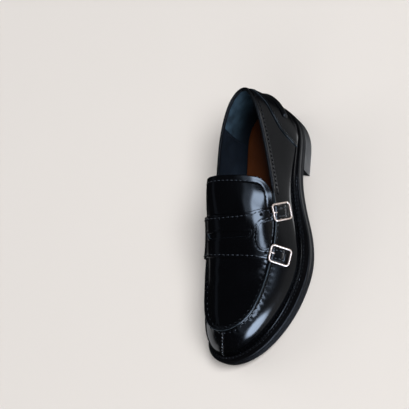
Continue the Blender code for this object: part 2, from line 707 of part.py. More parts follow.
def build_saddle():
    """Saddle with its slot; the two buckle straps are cut in one piece with it."""
    places = np.array([-1.93, -1.78, -1.62, -1.46, -1.30, -1.16, -1.06, -1.0, -0.94, -0.85,
                       -0.74, -0.62, SLOT_FROM, -0.36, -0.22, -0.08, 0.06, 0.20, 0.35, SLOT_TO,
                       0.57, GAP_FROM, 0.67, 0.71, 0.80, 0.90, 0.96, 1.0, 1.04, 1.10,
                       1.18, 1.26, 1.33, 1.40])
    table = smooth_table(SADDLE, places)
    between = [table[:, 0], 0.5 * (table[:, 0] + table[:, 1]), table[:, 1],
               table[:, 2], table[:, 3], table[:, 4],
               0.5 * (table[:, 4] + table[:, 5]), table[:, 5]]
    station = np.stack(between, axis=0)
    g = np.repeat(places[None], len(between), axis=0)
    over_bar = smooth_step((g - 0.90) / 0.10) * (1.0 - smooth_step((g - 1.20) / 0.14))
    low = SADDLE_LIFT + STRAP_RISE * over_bar
    middle = 0.5 * (places[:-1] + places[1:])
    keep = np.ones((len(between) - 1, len(places) - 1), dtype=bool)
    in_slot = (middle > SLOT_FROM) & (middle < SLOT_TO)
    in_gap = middle > GAP_FROM
    keep[3, in_slot] = False
    keep[2:5, in_gap] = False
    over_ridge = np.where(g < 0.0, RIDGE_HEIGHT, 0.0)
    top = lifted_girth(station, g, low + SADDLE_THICK, over_ridge)
    under = lifted_girth(station, g, low, over_ridge)
    return sheet_solid("saddle_strap", top, under, "black_leather", keep)


def build_counter():
    """Heel counter over the back of the wall, up to the collar band."""
    reach = COUNTER_EDGE[-1].distance / AROUND.length
    t = np.concatenate([RING[RING > 0.5] - 1.0, RING[RING < 0.5]])
    t = np.sort(np.concatenate([t, 0.5 * (t + np.roll(t, 1)), [-reach, reach]]))
    t = t[np.abs(t) <= reach]
    distance = t * AROUND.length
    share = smooth_table(COUNTER_EDGE, np.abs(distance))[..., 0]
    rise = np.linspace(0.0, 1.0, 8)
    h = 0.012 + rise[:, None] * (share - 0.012)[None]
    t_grid = np.repeat(t[None], len(rise), axis=0)
    base = wall(t_grid, h)
    normal = unit_normal(wall, t_grid, np.clip(h, 0.03, 0.97))
    return sheet_solid("heel_counter", base + normal * (CURVED_GAP + COUNTER_THICK),
                       base + normal * CURVED_GAP, "black_leather")


def build_heel_tab():
    """Raised tab wrapped round the heel back, over the counter."""
    distance = np.linspace(-TAB_REACH, TAB_REACH, 15)
    t = distance / AROUND.length
    centre = 0.38 - 0.02 * (np.abs(distance) / TAB_REACH) ** 2
    across = np.array([-0.045, -0.02, 0.02, 0.045])
    swell = np.array([0.35, 1.0, 1.0, 0.35])
    h = centre[None] + across[:, None]
    t_grid = np.repeat(t[None], len(across), axis=0)
    base = wall(t_grid, h)
    normal = unit_normal(wall, t_grid, h)
    low = 2.0 * CURVED_GAP + COUNTER_THICK + 0.12
    return sheet_solid("heel_tab", base + normal * (low + TAB_THICK * swell[:, None])[..., None],
                       base + normal * low, "black_leather")


# ---------------------------------------------------------------- buckles
Buckle = namedtuple("Buckle", "name g")
BUCKLES = [
    Buckle("upper", 1.14),
    Buckle("lower", 1.19),
]


def strap_frame(buckle):
    """Centre of a buckle on the shoe, with its axes along and across the strap."""
    rows = smooth_table(SADDLE, np.array([buckle.g - 0.08, buckle.g, buckle.g + 0.08]))
    if buckle.name == "upper":
        middle = 0.5 * (rows[:, 4] + rows[:, 5])
    else:
        middle = 0.5 * (rows[:, 0] + rows[:, 1])
    g = np.array([buckle.g - 0.08, buckle.g, buckle.g + 0.08])
    path = lifted_girth(middle, g, np.zeros(3))
    high = lifted_girth(middle, g, np.ones(3))
    out = high[1] - path[1]
    out = out / np.linalg.norm(out)
    along = path[2] - path[0]
    along = along - out * np.dot(along, out)
    along = along / np.linalg.norm(along)
    return path[1], along, np.cross(out, along), out


def rounded_rectangle(length, width, radius, per_corner=4):
    """Closed centre line of a buckle frame in its own plane."""
    line = []
    for quarter in range(4):
        sign_x = (1, -1, -1, 1)[quarter]
        sign_y = (1, 1, -1, -1)[quarter]
        for step in range(per_corner + 1):
            angle = math.radians(90.0 * (quarter + step / per_corner))
            line.append((sign_x * (length / 2 - radius) + radius * math.cos(angle),
                         sign_y * (width / 2 - radius) + radius * math.sin(angle)))
    return np.array(line)


def tube(points, radius, closed, sides=6):
    """Rings of a round wire along points; returns a Shell."""
    points = np.asarray(points, dtype=float)
    shell = Shell()
    if closed:
        ahead = np.roll(points, -1, axis=0)
        behind = np.roll(points, 1, axis=0)
    else:
        ahead = np.vstack([points[1:], points[-1:]])
        behind = np.vstack([points[:1], points[:-1]])
    tangent = ahead - behind
    tangent = tangent / np.linalg.norm(tangent, axis=1, keepdims=True)
    centre = points.mean(axis=0)
    side = np.cross(tangent, points - centre + 1e-6)
    side = side / np.linalg.norm(side, axis=1, keepdims=True)
    if not closed:
        side = np.tile(side[len(side) // 2], (len(points), 1))
        side = side - tangent * np.sum(side * tangent, axis=1, keepdims=True)
        side = side / np.linalg.norm(side, axis=1, keepdims=True)
    other = np.cross(tangent, side)
    angle = np.linspace(0.0, 2.0 * math.pi, sides, endpoint=False)
    rings = (points[:, None] + radius * (np.cos(angle)[None, :, None] * side[:, None]
                                         + np.sin(angle)[None, :, None] * other[:, None]))
    index = shell.add(rings)
    around = np.column_stack([index, index[:, :1]])
    shell.grid(around, close=closed)
    if not closed:
        shell.faces.append([int(i) for i in index[0][::-1]])
        shell.faces.append([int(i) for i in index[-1]])
    return shell




def build_buckle(buckle):
    """Frame with its centre bar under the strap, and the prong resting on the frame."""
    centre, along, across, out = strap_frame(buckle)

    def place(x, y, z):
        x, y, z = np.broadcast_arrays(x, y, z)
        return centre + x[:, None] * along + y[:, None] * across + z[:, None] * out

    line = rounded_rectangle(FRAME_LENGTH - 2 * WIRE_RADIUS, FRAME_WIDTH - 2 * WIRE_RADIUS, 3.2)
    shell = tube(place(line[:, 0], line[:, 1], FRAME_LIFT - FRAME_TILT * line[:, 0]),
                 WIRE_RADIUS, True)
    frame = make_object("buckle_frame_" + buckle.name, shell.points, shell.faces, "rose_nickel")
    half = FRAME_WIDTH / 2 - WIRE_RADIUS
    reach = np.array([-half, 0.6 - half, -6.7, 0.0, 6.7, half - 0.6, half])
    height = np.array([FRAME_LIFT, FRAME_LIFT - 0.4, BAR_LIFT, BAR_LIFT, BAR_LIFT,
                       FRAME_LIFT - 0.4, FRAME_LIFT])
    shell = tube(place(BAR_PLACE, reach, height), BAR_RADIUS, False)
    bar = make_object("bar_cutter_" + buckle.name, shell.points, shell.faces, "rose_nickel")
    join(frame, bar)
    reach = np.array([BAR_PLACE, -6.0, -9.5, 1.2 - FRAME_LENGTH / 2, 0.2 - FRAME_LENGTH / 2])
    rest = FRAME_LIFT + FRAME_TILT * FRAME_LENGTH / 2 + WIRE_RADIUS + PRONG_RADIUS
    height = np.array([rest - 0.1, rest + 0.3, rest + 0.3, rest, rest - 0.1])
    shell = tube(place(reach, 0.0, height), PRONG_RADIUS, False)
    make_object("buckle_prong_" + buckle.name, shell.points, shell.faces, "rose_nickel")


def join(target, operand):
    """Adds the operand's volume to the target and keeps the operand only as a tool."""
    modifier = target.modifiers.new("join_" + operand.name, "BOOLEAN")
    modifier.operation = "UNION"
    modifier.solver = "EXACT"
    modifier.object = operand
    operand.hide_render = True
    operand.display_type = "WIRE"


def clear_scene():
    for item in list(bpy.data.objects):
        bpy.data.objects.remove(item, do_unlink=True)


def main():
    clear_scene()
    build_outsole()
    build_welt()
    build_heel()
    build_insole()
    build_upper()
    build_tongue()
    build_saddle()
    build_counter()
    build_heel_tab()
    for buckle in BUCKLES:
        build_buckle(buckle)


main()
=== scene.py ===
"""Looks of the left loafer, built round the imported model.

Shoe coordinates are millimetres: u runs from the heel to the toe, v to the outer
(lateral) side, z up from the floor.  Every piece is made there and then put in the
frame's metres by to_world().
"""
import math
from collections import namedtuple

import bmesh
import bpy
import numpy as np
from mathutils import Matrix, Quaternion, Vector
from mathutils.bvhtree import BVHTree
from mathutils.kdtree import KDTree


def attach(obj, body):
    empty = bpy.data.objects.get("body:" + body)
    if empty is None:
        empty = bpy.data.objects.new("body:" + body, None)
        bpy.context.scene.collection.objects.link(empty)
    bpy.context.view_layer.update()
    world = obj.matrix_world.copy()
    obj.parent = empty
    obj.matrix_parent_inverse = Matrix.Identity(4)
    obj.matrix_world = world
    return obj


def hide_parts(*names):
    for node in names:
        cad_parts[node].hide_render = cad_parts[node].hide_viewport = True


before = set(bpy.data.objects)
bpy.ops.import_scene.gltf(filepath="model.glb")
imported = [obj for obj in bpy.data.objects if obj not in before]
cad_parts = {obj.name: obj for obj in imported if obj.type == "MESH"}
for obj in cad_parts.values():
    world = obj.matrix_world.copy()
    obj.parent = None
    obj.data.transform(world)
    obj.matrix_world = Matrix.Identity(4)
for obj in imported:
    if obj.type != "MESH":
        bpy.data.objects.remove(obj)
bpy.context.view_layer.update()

MM = 0.001

# ---------------------------------------------------------------- sizes of the model (mm)
Y_TOE_SHIFT = 132.2          # puts the middle of the length on the origin
X_SHIFT = 5.62               # puts the middle of the width on the origin

# sole and heel
OUTSOLE_THICK = 6.2
WELT_THICK = 5.1
CURVED_GAP = 0.3             # between curved pieces that meet
SOLE_THICK = OUTSOLE_THICK + CURVED_GAP + WELT_THICK
HEEL_PLANE = 14.2            # underside of the outsole over the heel
TOP_PIECE_THICK = 5.6
HEEL_LIFTS = 3
HEEL_BREAST_U = 71.0
WAIST_START_U = 74.0
TREAD_START_U = 143.0        # the forefoot lies flat from here ...
TREAD_END_U = 203.0          # ... to here
TOE_SPRING = 11.6
TOE_TIP_U = 268.3
CORD_INSET = 2.3             # welt cord, outside the foot of the upper
WELT_STEP = 1.1              # side step between outsole and welt
BED_INSET = 13.0             # raised centre of the outsole inside the welt
INSOLE_THICK = 3.0

# upper
WALL = 2.0                   # leather and lining of the upper
RIDGE_HEIGHT = 2.3           # raised apron seam
BAND_WIDTH = 7.5             # folded band along the topline
BAND_STEP = 0.5
FLARE = 1.1                  # the upper's foot turns out onto the welt
FLARE_HEIGHT = 2.3
PLUG_END = 139.0             # station where the apron ends under the saddle
PLUG_SKEW = 6.0              # how much further back the apron runs on the lateral side
THROAT = 118.0               # station where the apron seam meets the topline
PUCKER_PITCH = 6.0           # puckers of the apron seam
PUCKER_DEPTH = 0.105
APRON_MIDDLE = (200.0, -10.0, 50.0)
FRONT_TOP_V = -17.0          # vertical seam at the toe: v of its top ...
FRONT_FOOT_V = -28.4         # ... and of its foot
GRIP_END = 41.0              # the suede heel grip covers the lining behind this station
GRIP_THICK = 0.35
GRIP_SHADED_BELOW = 34.0             # heights between which the suede goes from painted shade to painted light
GRIP_LIT_ABOVE = 82.0

# tongue
TONGUE_THICK = 2.4
TONGUE_TOP = 98.0            # station of its tip
TONGUE_LENGTH = 45.0
TONGUE_CORNER = 14.0         # its top corners are cut over this length
TONGUE_LATERAL = 0.985       # reach of the tongue's sides, as a share of the instep
TONGUE_MEDIAL = 0.98
TONGUE_FLANK = 1.2           # how far its lateral flank stands proud
TIP_DROOP = 1.5
EDGE_CURL = 0.32             # its free edge curls up by this

# saddle, straps and their punched holes
SADDLE_THICK = 1.7
SADDLE_LIFT = 0.35
STRAP_RISE = 2.7             # over the buckles' bars
HOLE_RINGS = [(0.05, 0.05), (1.45, 0.05), (1.55, 0.20), (1.75, 0.22), (1.95, 0.12),
              (2.15, -0.2)]  # radius and height over the strap

# counter and heel tab; the shares are of the wall's height
COUNTER_THICK = 1.2
COUNTER_FOOT = 0.012
TAB_THICK = 2.2
TAB_REACH = 43.0
TAB_SUNK = 0.75              # the tab is sewn down onto the counter
TAB_MIDDLE = 0.38
TAB_HALF = 0.045
WHIP_PITCH = 3.4             # whip stitches across the tab
WHIP_DEPTH = 0.46

# buckles
FRAME_LENGTH = 23.5
FRAME_WIDTH = 18.0
FRAME_CORNER = 3.2
WIRE_RADIUS = 0.9
FRAME_LIFT = 4.1
FRAME_TILT = 0.07
BAR_LIFT = 1.85
BAR_PLACE = -1.5
BAR_RADIUS = 0.68
PRONG_RADIUS = 0.65

# rows of stitches, from the edge or seam that they follow
BAND_ROW = 1.15              # from the lower edge of the band
OUTER_SEAM_ROW = 3.2         # outside the apron seam ...
INNER_SEAM_ROW = 2.9         # ... and inside it
FRONT_ROW = 2.2
TONGUE_ROW = 5.2
ROW_EXTRA = 2.4              # further in along the tongue's lateral edge
SADDLE_ROW = 2.7
ROW_END = 1.36               # girth place where the rows of the straps end
GIRTH_MM = 42.0              # length of one unit of girth place across the straps
COUNTER_ROW = 2.4

# One row for each section round the shoe, from the heel back along the lateral side to
# the toe and back along the medial side.  sole_u, sole_v: edge of the sole; welt: how far
# the upper stands inside it; top_u, top_v, top_z: topline or apron seam; foot_lean and
# top_lean: outward lean of the wall at its foot and at its top edge; reach: fullness.
Section = namedtuple(
    "Section", "sole_u sole_v welt top_u top_v top_z foot_lean top_lean reach")
SECTIONS = [
    Section(-1.0, -1.5, 2.6, 5.8, 1.2, 88.3, 0.12, 0.26, 0.38),      # heel back
    Section(4.4, 14.0, 2.6, 11.2, 9.6, 87.7, 0.12, 0.26, 0.38),
    Section(15.0, 24.8, 2.6, 20.0, 14.8, 85.6, 0.12, 0.27, 0.37),
    Section(32.0, 33.6, 2.8, 34.0, 18.8, 81.0, 0.10, 0.28, 0.36),    # heel, lateral
    Section(56.0, 36.0, 3.4, 54.0, 21.8, 72.9, 0.06, 0.32, 0.35),
    Section(84.0, 37.3, 5.1, 80.0, 25.8, 65.0, 0.16, 0.34, 0.35),    # waist, lateral
    Section(110.0, 40.2, 7.3, 106.0, 29.6, 58.2, 0.26, 0.42, 0.35),
    Section(134.0, 45.4, 8.7, 131.0, 31.0, 50.8, 0.22, 0.60, 0.35),
    Section(156.0, 49.7, 9.5, 154.0, 29.4, 46.0, 0.18, 0.62, 0.38),  # ball, lateral
    Section(178.2, 49.2, 9.7, 176.0, 25.6, 43.4, 0.18, 0.66, 0.39),
    Section(199.7, 43.2, 9.5, 196.0, 21.4, 43.2, 0.18, 0.72, 0.40),
    Section(219.0, 34.5, 9.4, 214.5, 15.8, 44.0, 0.18, 0.88, 0.40),
    Section(237.1, 23.6, 9.3, 229.0, 7.8, 45.6, 0.20, 1.10, 0.39),
    Section(253.6, 10.0, 9.6, 238.2, -2.6, 47.4, 0.22, 1.40, 0.38),
    Section(265.2, -7.2, 9.6, 242.2, -12.4, 48.5, 0.24, 1.50, 0.38),
    Section(268.6, -26.0, 8.2, 241.8, -21.0, 48.9, 0.24, 1.45, 0.38),  # toe
    Section(262.2, -43.0, 6.6, 238.0, -29.8, 48.8, 0.22, 1.25, 0.38),
    Section(252.0, -52.4, 7.7, 231.4, -35.4, 48.6, 0.20, 1.20, 0.40),
    Section(236.0, -57.2, 7.6, 220.6, -39.0, 48.6, 0.20, 1.00, 0.39),
    Section(217.0, -59.2, 7.6, 206.0, -40.6, 49.0, 0.22, 0.70, 0.36),
    Section(198.0, -58.6, 7.6, 190.0, -41.4, 50.2, 0.24, 0.55, 0.36),  # ball, medial
    Section(178.0, -55.4, 7.6, 173.0, -41.0, 52.2, 0.28, 0.42, 0.35),
    Section(156.0, -49.2, 7.6, 154.0, -39.4, 55.0, 0.36, 0.28, 0.35),
    Section(132.0, -40.8, 7.2, 132.0, -37.0, 58.8, 0.44, 0.18, 0.35),
    Section(105.0, -32.4, 6.2, 107.0, -34.4, 63.6, 0.46, 0.12, 0.35),  # waist, medial
    Section(77.0, -29.8, 4.4, 81.0, -31.8, 69.0, 0.36, 0.12, 0.35),
    Section(50.0, -30.4, 3.2, 55.5, -28.3, 75.2, 0.20, 0.16, 0.35),
    Section(27.0, -29.4, 2.8, 35.0, -22.4, 80.8, 0.14, 0.22, 0.36),  # heel, medial
    Section(10.5, -21.8, 2.6, 19.2, -14.2, 86.0, 0.12, 0.24, 0.37),
    Section(2.4, -12.2, 2.6, 10.0, -6.8, 87.7, 0.12, 0.26, 0.38),
]

# Cross-sections over the instep, from the toe back to the tongue's tip.  station: u of
# the section; crown_z: its highest point; lateral_in, medial_in: how far the curve leans
# inward at each edge, as a share of the section's width.
Crown = namedtuple("Crown", "station crown_z lateral_in medial_in")
CROWNS = [
    Crown(243.0, 49.4, 0.34, 0.30),
    Crown(232.0, 52.4, 0.38, 0.29),
    Crown(215.0, 54.8, 0.40, 0.26),
    Crown(198.0, 57.0, 0.41, 0.22),
    Crown(185.0, 61.0, 0.40, 0.17),
    Crown(170.0, 67.2, 0.29, 0.11),
    Crown(150.0, 75.8, 0.18, 0.03),
    Crown(130.0, 83.4, 0.21, -0.05),
    Crown(112.0, 88.4, 0.34, -0.10),
    Crown(92.0, 92.4, 0.36, -0.12),
]

# Height of the counter's edge, as a share of the wall, against the distance along the
# wall from the heel back (mm).
CounterEdge = namedtuple("CounterEdge", "distance share")
COUNTER_EDGE = [
    CounterEdge(0.0, 0.82), CounterEdge(15.0, 0.78), CounterEdge(30.0, 0.71),
    CounterEdge(43.0, 0.655), CounterEdge(53.0, 0.58), CounterEdge(59.5, 0.48),
    CounterEdge(64.0, 0.34), CounterEdge(66.5, 0.19), CounterEdge(68.0, 0.03),
]

# Rows of the saddle, from its toe-side edge to its heel-side edge, at girth places from
# the medial welt to the strap ends.  front, back: its edges; low_top, high_bottom: edges
# of the gap between the two straps; the slot lies between slot_front and slot_back.
SaddleRow = namedtuple("SaddleRow", "g front low_top slot_front slot_back high_bottom back")
SADDLE = [
    SaddleRow(-1.93, 170.5, 162.0, 156.0, 152.0, 142.0, 132.5),
    SaddleRow(-1.0, 171.0, 163.0, 156.0, 152.0, 142.0, 133.0),
    SaddleRow(-0.48, 173.4, 164.0, 156.6, 151.6, 142.5, 135.0),
    SaddleRow(0.0, 174.5, 165.0, 156.8, 151.4, 143.0, 136.0),
    SaddleRow(0.50, 173.8, 163.0, 155.0, 150.0, 143.6, 132.2),
    SaddleRow(0.64, 173.4, 157.5, 155.0, 150.0, 146.6, 129.4),
    SaddleRow(0.71, 173.2, 161.8, 155.0, 150.0, 141.9, 127.9),
    SaddleRow(0.80, 173.0, 162.6, 155.0, 150.0, 138.8, 126.0),
    SaddleRow(1.0, 172.8, 160.3, 154.0, 149.0, 134.4, 121.9),
    SaddleRow(1.22, 172.6, 160.1, 154.0, 149.0, 130.6, 118.1),
    SaddleRow(1.40, 173.2, 160.7, 154.0, 149.0, 127.2, 114.7),
]
SLOT_TO = 0.50               # the slot reaches this girth place on both sides
SLOT_TAPER = 0.13            # girth over which the slot's ends are rounded
GAP_FROM = 0.64              # the gap between the straps starts here
GAP_ROUND = 0.13

Buckle = namedtuple("Buckle", "name g")
BUCKLES = [
    Buckle("upper", 1.14),
    Buckle("lower", 1.19),
]

# Punched holes of the straps: station and girth place.
PUNCHED = [(133.0, 0.72), (128.6, 0.90), (166.6, 0.86), (166.6, 0.95)]

# Soft folds, given one by one: middle (u, v, z), direction of the fold, half length, half
# width and depth in mm (a negative depth stands proud).
Fold = namedtuple("Fold", "u v z du dv dz half_length half_width depth")
FOLDS = [
    Fold(190.0, 40.0, 32.0, 0.6, 0.1, 0.8, 17.0, 6.0, 0.45),
    Fold(205.0, 33.0, 34.0, 0.5, -0.3, 0.8, 14.0, 5.0, -0.35),
    Fold(160.0, 42.0, 30.0, 0.8, 0.1, 0.6, 22.0, 7.0, 0.40),
    Fold(120.0, 40.0, 38.0, 1.0, 0.0, -0.1, 26.0, 8.0, 0.40),
    Fold(184.0, -52.0, 36.0, 0.6, 0.0, 0.8, 16.0, 6.0, 0.50),
    Fold(168.0, -50.0, 38.0, 0.6, 0.0, 0.8, 16.0, 6.0, -0.35),
    Fold(200.0, -10.0, 56.0, 0.15, 1.0, 0.0, 20.0, 6.0, 0.35),
    Fold(184.0, -6.0, 60.0, 0.1, 1.0, 0.1, 22.0, 6.0, 0.30),
    Fold(60.0, -32.0, 52.0, 1.0, 0.0, -0.2, 24.0, 8.0, 0.40),
    Fold(66.0, 27.0, 50.0, 1.0, 0.1, -0.3, 26.0, 8.0, 0.40),
]


# ---------------------------------------------------------------- small helpers
def unit(ways):
    """The same directions with length 1."""
    return ways / np.maximum(np.linalg.norm(ways, axis=-1, keepdims=True), 1e-9)


def smooth_step(x):
    x = np.clip(x, 0.0, 1.0)
    return x * x * (3.0 - 2.0 * x)


def hump(x, middle, width):
    """1 at middle, falling softly to 0 on both sides over about width."""
    return np.exp(-((x - middle) / width) ** 2)


def lattice(rows, columns):
    """Two grids: the values of rows down one, the values of columns across the other."""
    return np.meshgrid(rows, columns, indexing="ij")


def full_turn(count):
    """Angles of count even steps round a circle, the first again at the end."""
    return np.linspace(0.0, 2.0 * math.pi, count + 1)


def crowded(count, power):
    """Places from -1 to 1 that lie closer together towards both ends."""
    even = np.linspace(-1.0, 1.0, count)
    return np.sign(even) * (1.0 - (1.0 - np.abs(even)) ** power)


def run_length(points):
    """Distance along a path, or along each row of a grid, to each of its points."""
    step = np.linalg.norm(np.diff(points, axis=-2), axis=-1)
    return np.concatenate([np.zeros(step.shape[:-1] + (1,)), np.cumsum(step, axis=-1)], axis=-1)


def read_along(path, run, places):
    """Points at places (mm) along a path whose own points lie at run."""
    return np.stack([np.interp(places, run, path[:, i]) for i in range(3)], axis=1)


def bezier(start, near_start, near_end, end, share):
    """Cubic curve from start to end, drawn towards the two points between them."""
    s = np.asarray(share, dtype=float)[..., None]
    r = 1.0 - s
    return start * r ** 3 + near_start * 3 * r * r * s + near_end * 3 * r * s * s + end * s ** 3


# ---------------------------------------------------------------- curves from the tables
def periodic_second_derivatives(knots, values):
    """Second derivatives of the closed cubic spline through values at knots."""
    count = len(knots) - 1
    step = np.diff(knots)
    matrix = np.zeros((count, count))
    right = np.zeros((count, values.shape[1]))
    for row in range(count):
        before = step[row - 1]
        after = step[row]
        matrix[row, (row - 1) % count] += before
        matrix[row, row] += 2.0 * (before + after)
        matrix[row, (row + 1) % count] += after
        rise_after = (values[(row + 1) % count] - values[row]) / after
        rise_before = (values[row] - values[row - 1]) / before
        right[row] = 6.0 * (rise_after - rise_before)
    return np.linalg.solve(matrix, right)


class ClosedSpline:
    """All columns of SECTIONS as smooth closed functions of t in 0..1."""

    def __init__(self, rows):
        self.values = np.array(rows, dtype=float)
        loop = np.vstack([self.values, self.values[:1]])
        chords = np.hypot(*np.diff(loop[:, :2], axis=0).T)
        self.knots = np.concatenate([[0.0], np.cumsum(chords)])
        self.length = self.knots[-1]
        self.bend = periodic_second_derivatives(self.knots, self.values)

    def __call__(self, t):
        place = np.mod(np.asarray(t, dtype=float), 1.0) * self.length
        left = np.clip(np.searchsorted(self.knots, place, side="right") - 1,
                       0, len(self.values) - 1)
        right = (left + 1) % len(self.values)
        step = self.knots[left + 1] - self.knots[left]
        b = ((place - self.knots[left]) / step)[..., None]
        a = 1.0 - b
        scale = (step ** 2 / 6.0)[..., None]
        return (a * self.values[left] + b * self.values[right]
                + ((a ** 3 - a) * self.bend[left] + (b ** 3 - b) * self.bend[right]) * scale)


AROUND = ClosedSpline(SECTIONS)


def smooth_table(rows, x):
    """Smooth reading of a table: cubic Hermite pieces with averaged slopes."""
    table = np.array(rows, dtype=float)
    order = np.argsort(table[:, 0])
    xs = table[order, 0]
    ys = table[order, 1:]
    slopes = np.gradient(ys, xs, axis=0)
    x = np.clip(np.asarray(x, dtype=float), xs[0], xs[-1])
    left = np.clip(np.searchsorted(xs, x, side="right") - 1, 0, len(xs) - 2)
    step = (xs[left + 1] - xs[left])[..., None]
    s = (x - xs[left])[..., None] / step
    return (ys[left] * (1 + 2 * s) * (1 - s) ** 2 + ys[left + 1] * s ** 2 * (3 - 2 * s)
            + slopes[left] * step * s * (1 - s) ** 2
            - slopes[left + 1] * step * s ** 2 * (1 - s))


def sole_underside(u):
    """Height of the outsole's underside: heel seat, arch, flat tread and toe spring."""
    arch = 1.0 - smooth_step((u - WAIST_START_U) / (TREAD_START_U - WAIST_START_U))
    toe = np.clip((u - TREAD_END_U) / (TOE_TIP_U - TREAD_END_U), 0.0, 1.0)
    return HEEL_PLANE * arch + TOE_SPRING * toe ** 2


def sole_edge(t, inset):
    """Points (u, v) of the sole's edge, moved inward by inset, and the outward direction."""
    here, ahead, behind = (AROUND(np.asarray(t) + step)[..., :2] for step in (0.0, 0.002, -0.002))
    run = unit(ahead - behind)
    outward = np.stack([-run[..., 1], run[..., 0]], axis=-1)
    return here - outward * np.asarray(inset)[..., None], outward


COLUMN = {name: place for place, name in enumerate(Section._fields)}
TOP = slice(COLUMN["top_u"], COLUMN["top_z"] + 1)


def welt_width(t):
    """How far the upper's foot stands inside the edge of the sole."""
    return AROUND(t)[..., COLUMN["welt"]]


def top_edge(t):
    """Points of the topline or apron seam."""
    return AROUND(t)[..., TOP]


def wall(t, h):
    """The upper's outer wall: h = 0 at its foot, h = 1 at the topline or apron seam."""
    row = AROUND(t)
    foot_lean, top_lean, reach = (row[..., COLUMN[name], None]
                                  for name in ("foot_lean", "top_lean", "reach"))
    foot_uv, outward = sole_edge(t, row[..., COLUMN["welt"]])
    foot_z = sole_underside(foot_uv[..., 0]) + SOLE_THICK + CURVED_GAP
    foot = np.concatenate([foot_uv, foot_z[..., None]], axis=-1)
    top = row[..., TOP]
    out = np.concatenate([outward, np.zeros_like(foot_z)[..., None]], axis=-1)
    up = np.array([0.0, 0.0, 1.0])
    span = np.linalg.norm(top - foot, axis=-1, keepdims=True) * reach
    return bezier(foot, foot + unit(up + foot_lean * out) * span,
                  top + unit(top_lean * out - up) * span, top, h)


def unit_normal(surface, a, b, step_a=0.004, step_b=0.02):
    """Outward unit normal of a surface given as a function of two parameters."""
    along_a = surface(a + step_a, b) - surface(a - step_a, b)
    along_b = surface(a, b + step_b) - surface(a, b - step_b)
    return unit(np.cross(along_b, along_a))


def wall_normal(t, h):
    """Outward unit normal of the wall, read a little inside its edges."""
    return unit_normal(wall, t, np.clip(h, 0.03, 0.97))


def find_toe():
    """t of the foremost point of the top edge."""
    t = np.linspace(0.3, 0.7, 801)
    return float(t[np.argmax(top_edge(t)[:, 0])])


TOE_T = find_toe()


class TopEdge:
    """One side of the top edge, measured from the toe back to last_t."""

    def __init__(self, last_t):
        self.t = np.linspace(TOE_T, last_t, 600)
        points = top_edge(self.t)
        self.run = run_length(points)
        self.throat = float(np.interp(-THROAT, -points[:, 0], self.run))

    def __call__(self, k):
        """t at share k of the way from the toe (0) to the throat (1)."""
        return np.interp(np.asarray(k) * self.throat, self.run, self.t)


LATERAL = TopEdge(0.03)
MEDIAL = TopEdge(0.97)


def edge_pair(k):
    """Points of the top edge on the lateral and on the medial side at share k."""
    return top_edge(LATERAL(k)), top_edge(MEDIAL(k))


# Share k of the way along the top edge against the station u of that section.
K_TABLE = np.linspace(0.0, 1.45, 400)
U_TABLE = 0.5 * sum(edge[:, 0] for edge in edge_pair(K_TABLE))


def share_at(station):
    """Share k of the section at a station."""
    return np.interp(-np.asarray(station, dtype=float), -U_TABLE, K_TABLE)


def instep(k, w):
    """The apron, instep and tongue: w = -1 at the medial edge, 1 at the lateral edge."""
    lateral, medial = edge_pair(k)
    middle = 0.5 * (lateral + medial)
    crown_z, lateral_in, medial_in = np.moveaxis(smooth_table(CROWNS, middle[..., 0]), -1, 0)
    width = np.linalg.norm(lateral - medial, axis=-1)
    # the curve rises by 3/4 of its middle points' lift, and a narrow section lies flat
    rise = np.maximum((crown_z - middle[..., 2]) / 0.75, 0.0) * smooth_step(width / 24.0)
    across = (lateral - medial) / np.maximum(width, 1e-6)[..., None]
    across[..., 2] = 0.0
    lift = np.zeros_like(lateral)
    lift[..., 2] = rise
    lateral_way = lift - across * (lateral_in * width)[..., None]
    medial_way = lift + across * (medial_in * width)[..., None]
    return bezier(lateral, lateral + lateral_way, medial + medial_way, medial,
                  0.5 * (1.0 - np.asarray(w, dtype=float)))


def girth(k, g):
    """Round the shoe at one section: medial wall -2..-1, instep -1..1, lateral wall 1..2."""
    k, g = np.broadcast_arrays(np.asarray(k, dtype=float), np.asarray(g, dtype=float))
    over = instep(k, np.clip(g, -1.0, 1.0))
    lateral = wall(LATERAL(k), np.clip(2.0 - g, 0.0, 1.0))
    medial = wall(MEDIAL(k), np.clip(2.0 + g, 0.0, 1.0))
    return np.where((g > 1.0)[..., None], lateral, np.where((g < -1.0)[..., None], medial, over))


def lifted_girth(station, g, lift, over_ridge=0.0):
    """Point on the shoe lifted along its normal, and more so over the raised seam."""
    k = share_at(station)
    normal = unit_normal(girth, k, np.asarray(g, dtype=float), 0.012, 0.09)
    return girth(k, g) + normal * (lift + over_ridge * hump(np.abs(g), 1.0, 0.13))[..., None]


# ---------------------------------------------------------------- meshes
def to_world(points):
    """Shoe coordinates in mm to the frame's metres."""
    return np.stack([points[..., 1] + X_SHIFT, Y_TOE_SHIFT - points[..., 0],
                     points[..., 2]], axis=-1) * MM


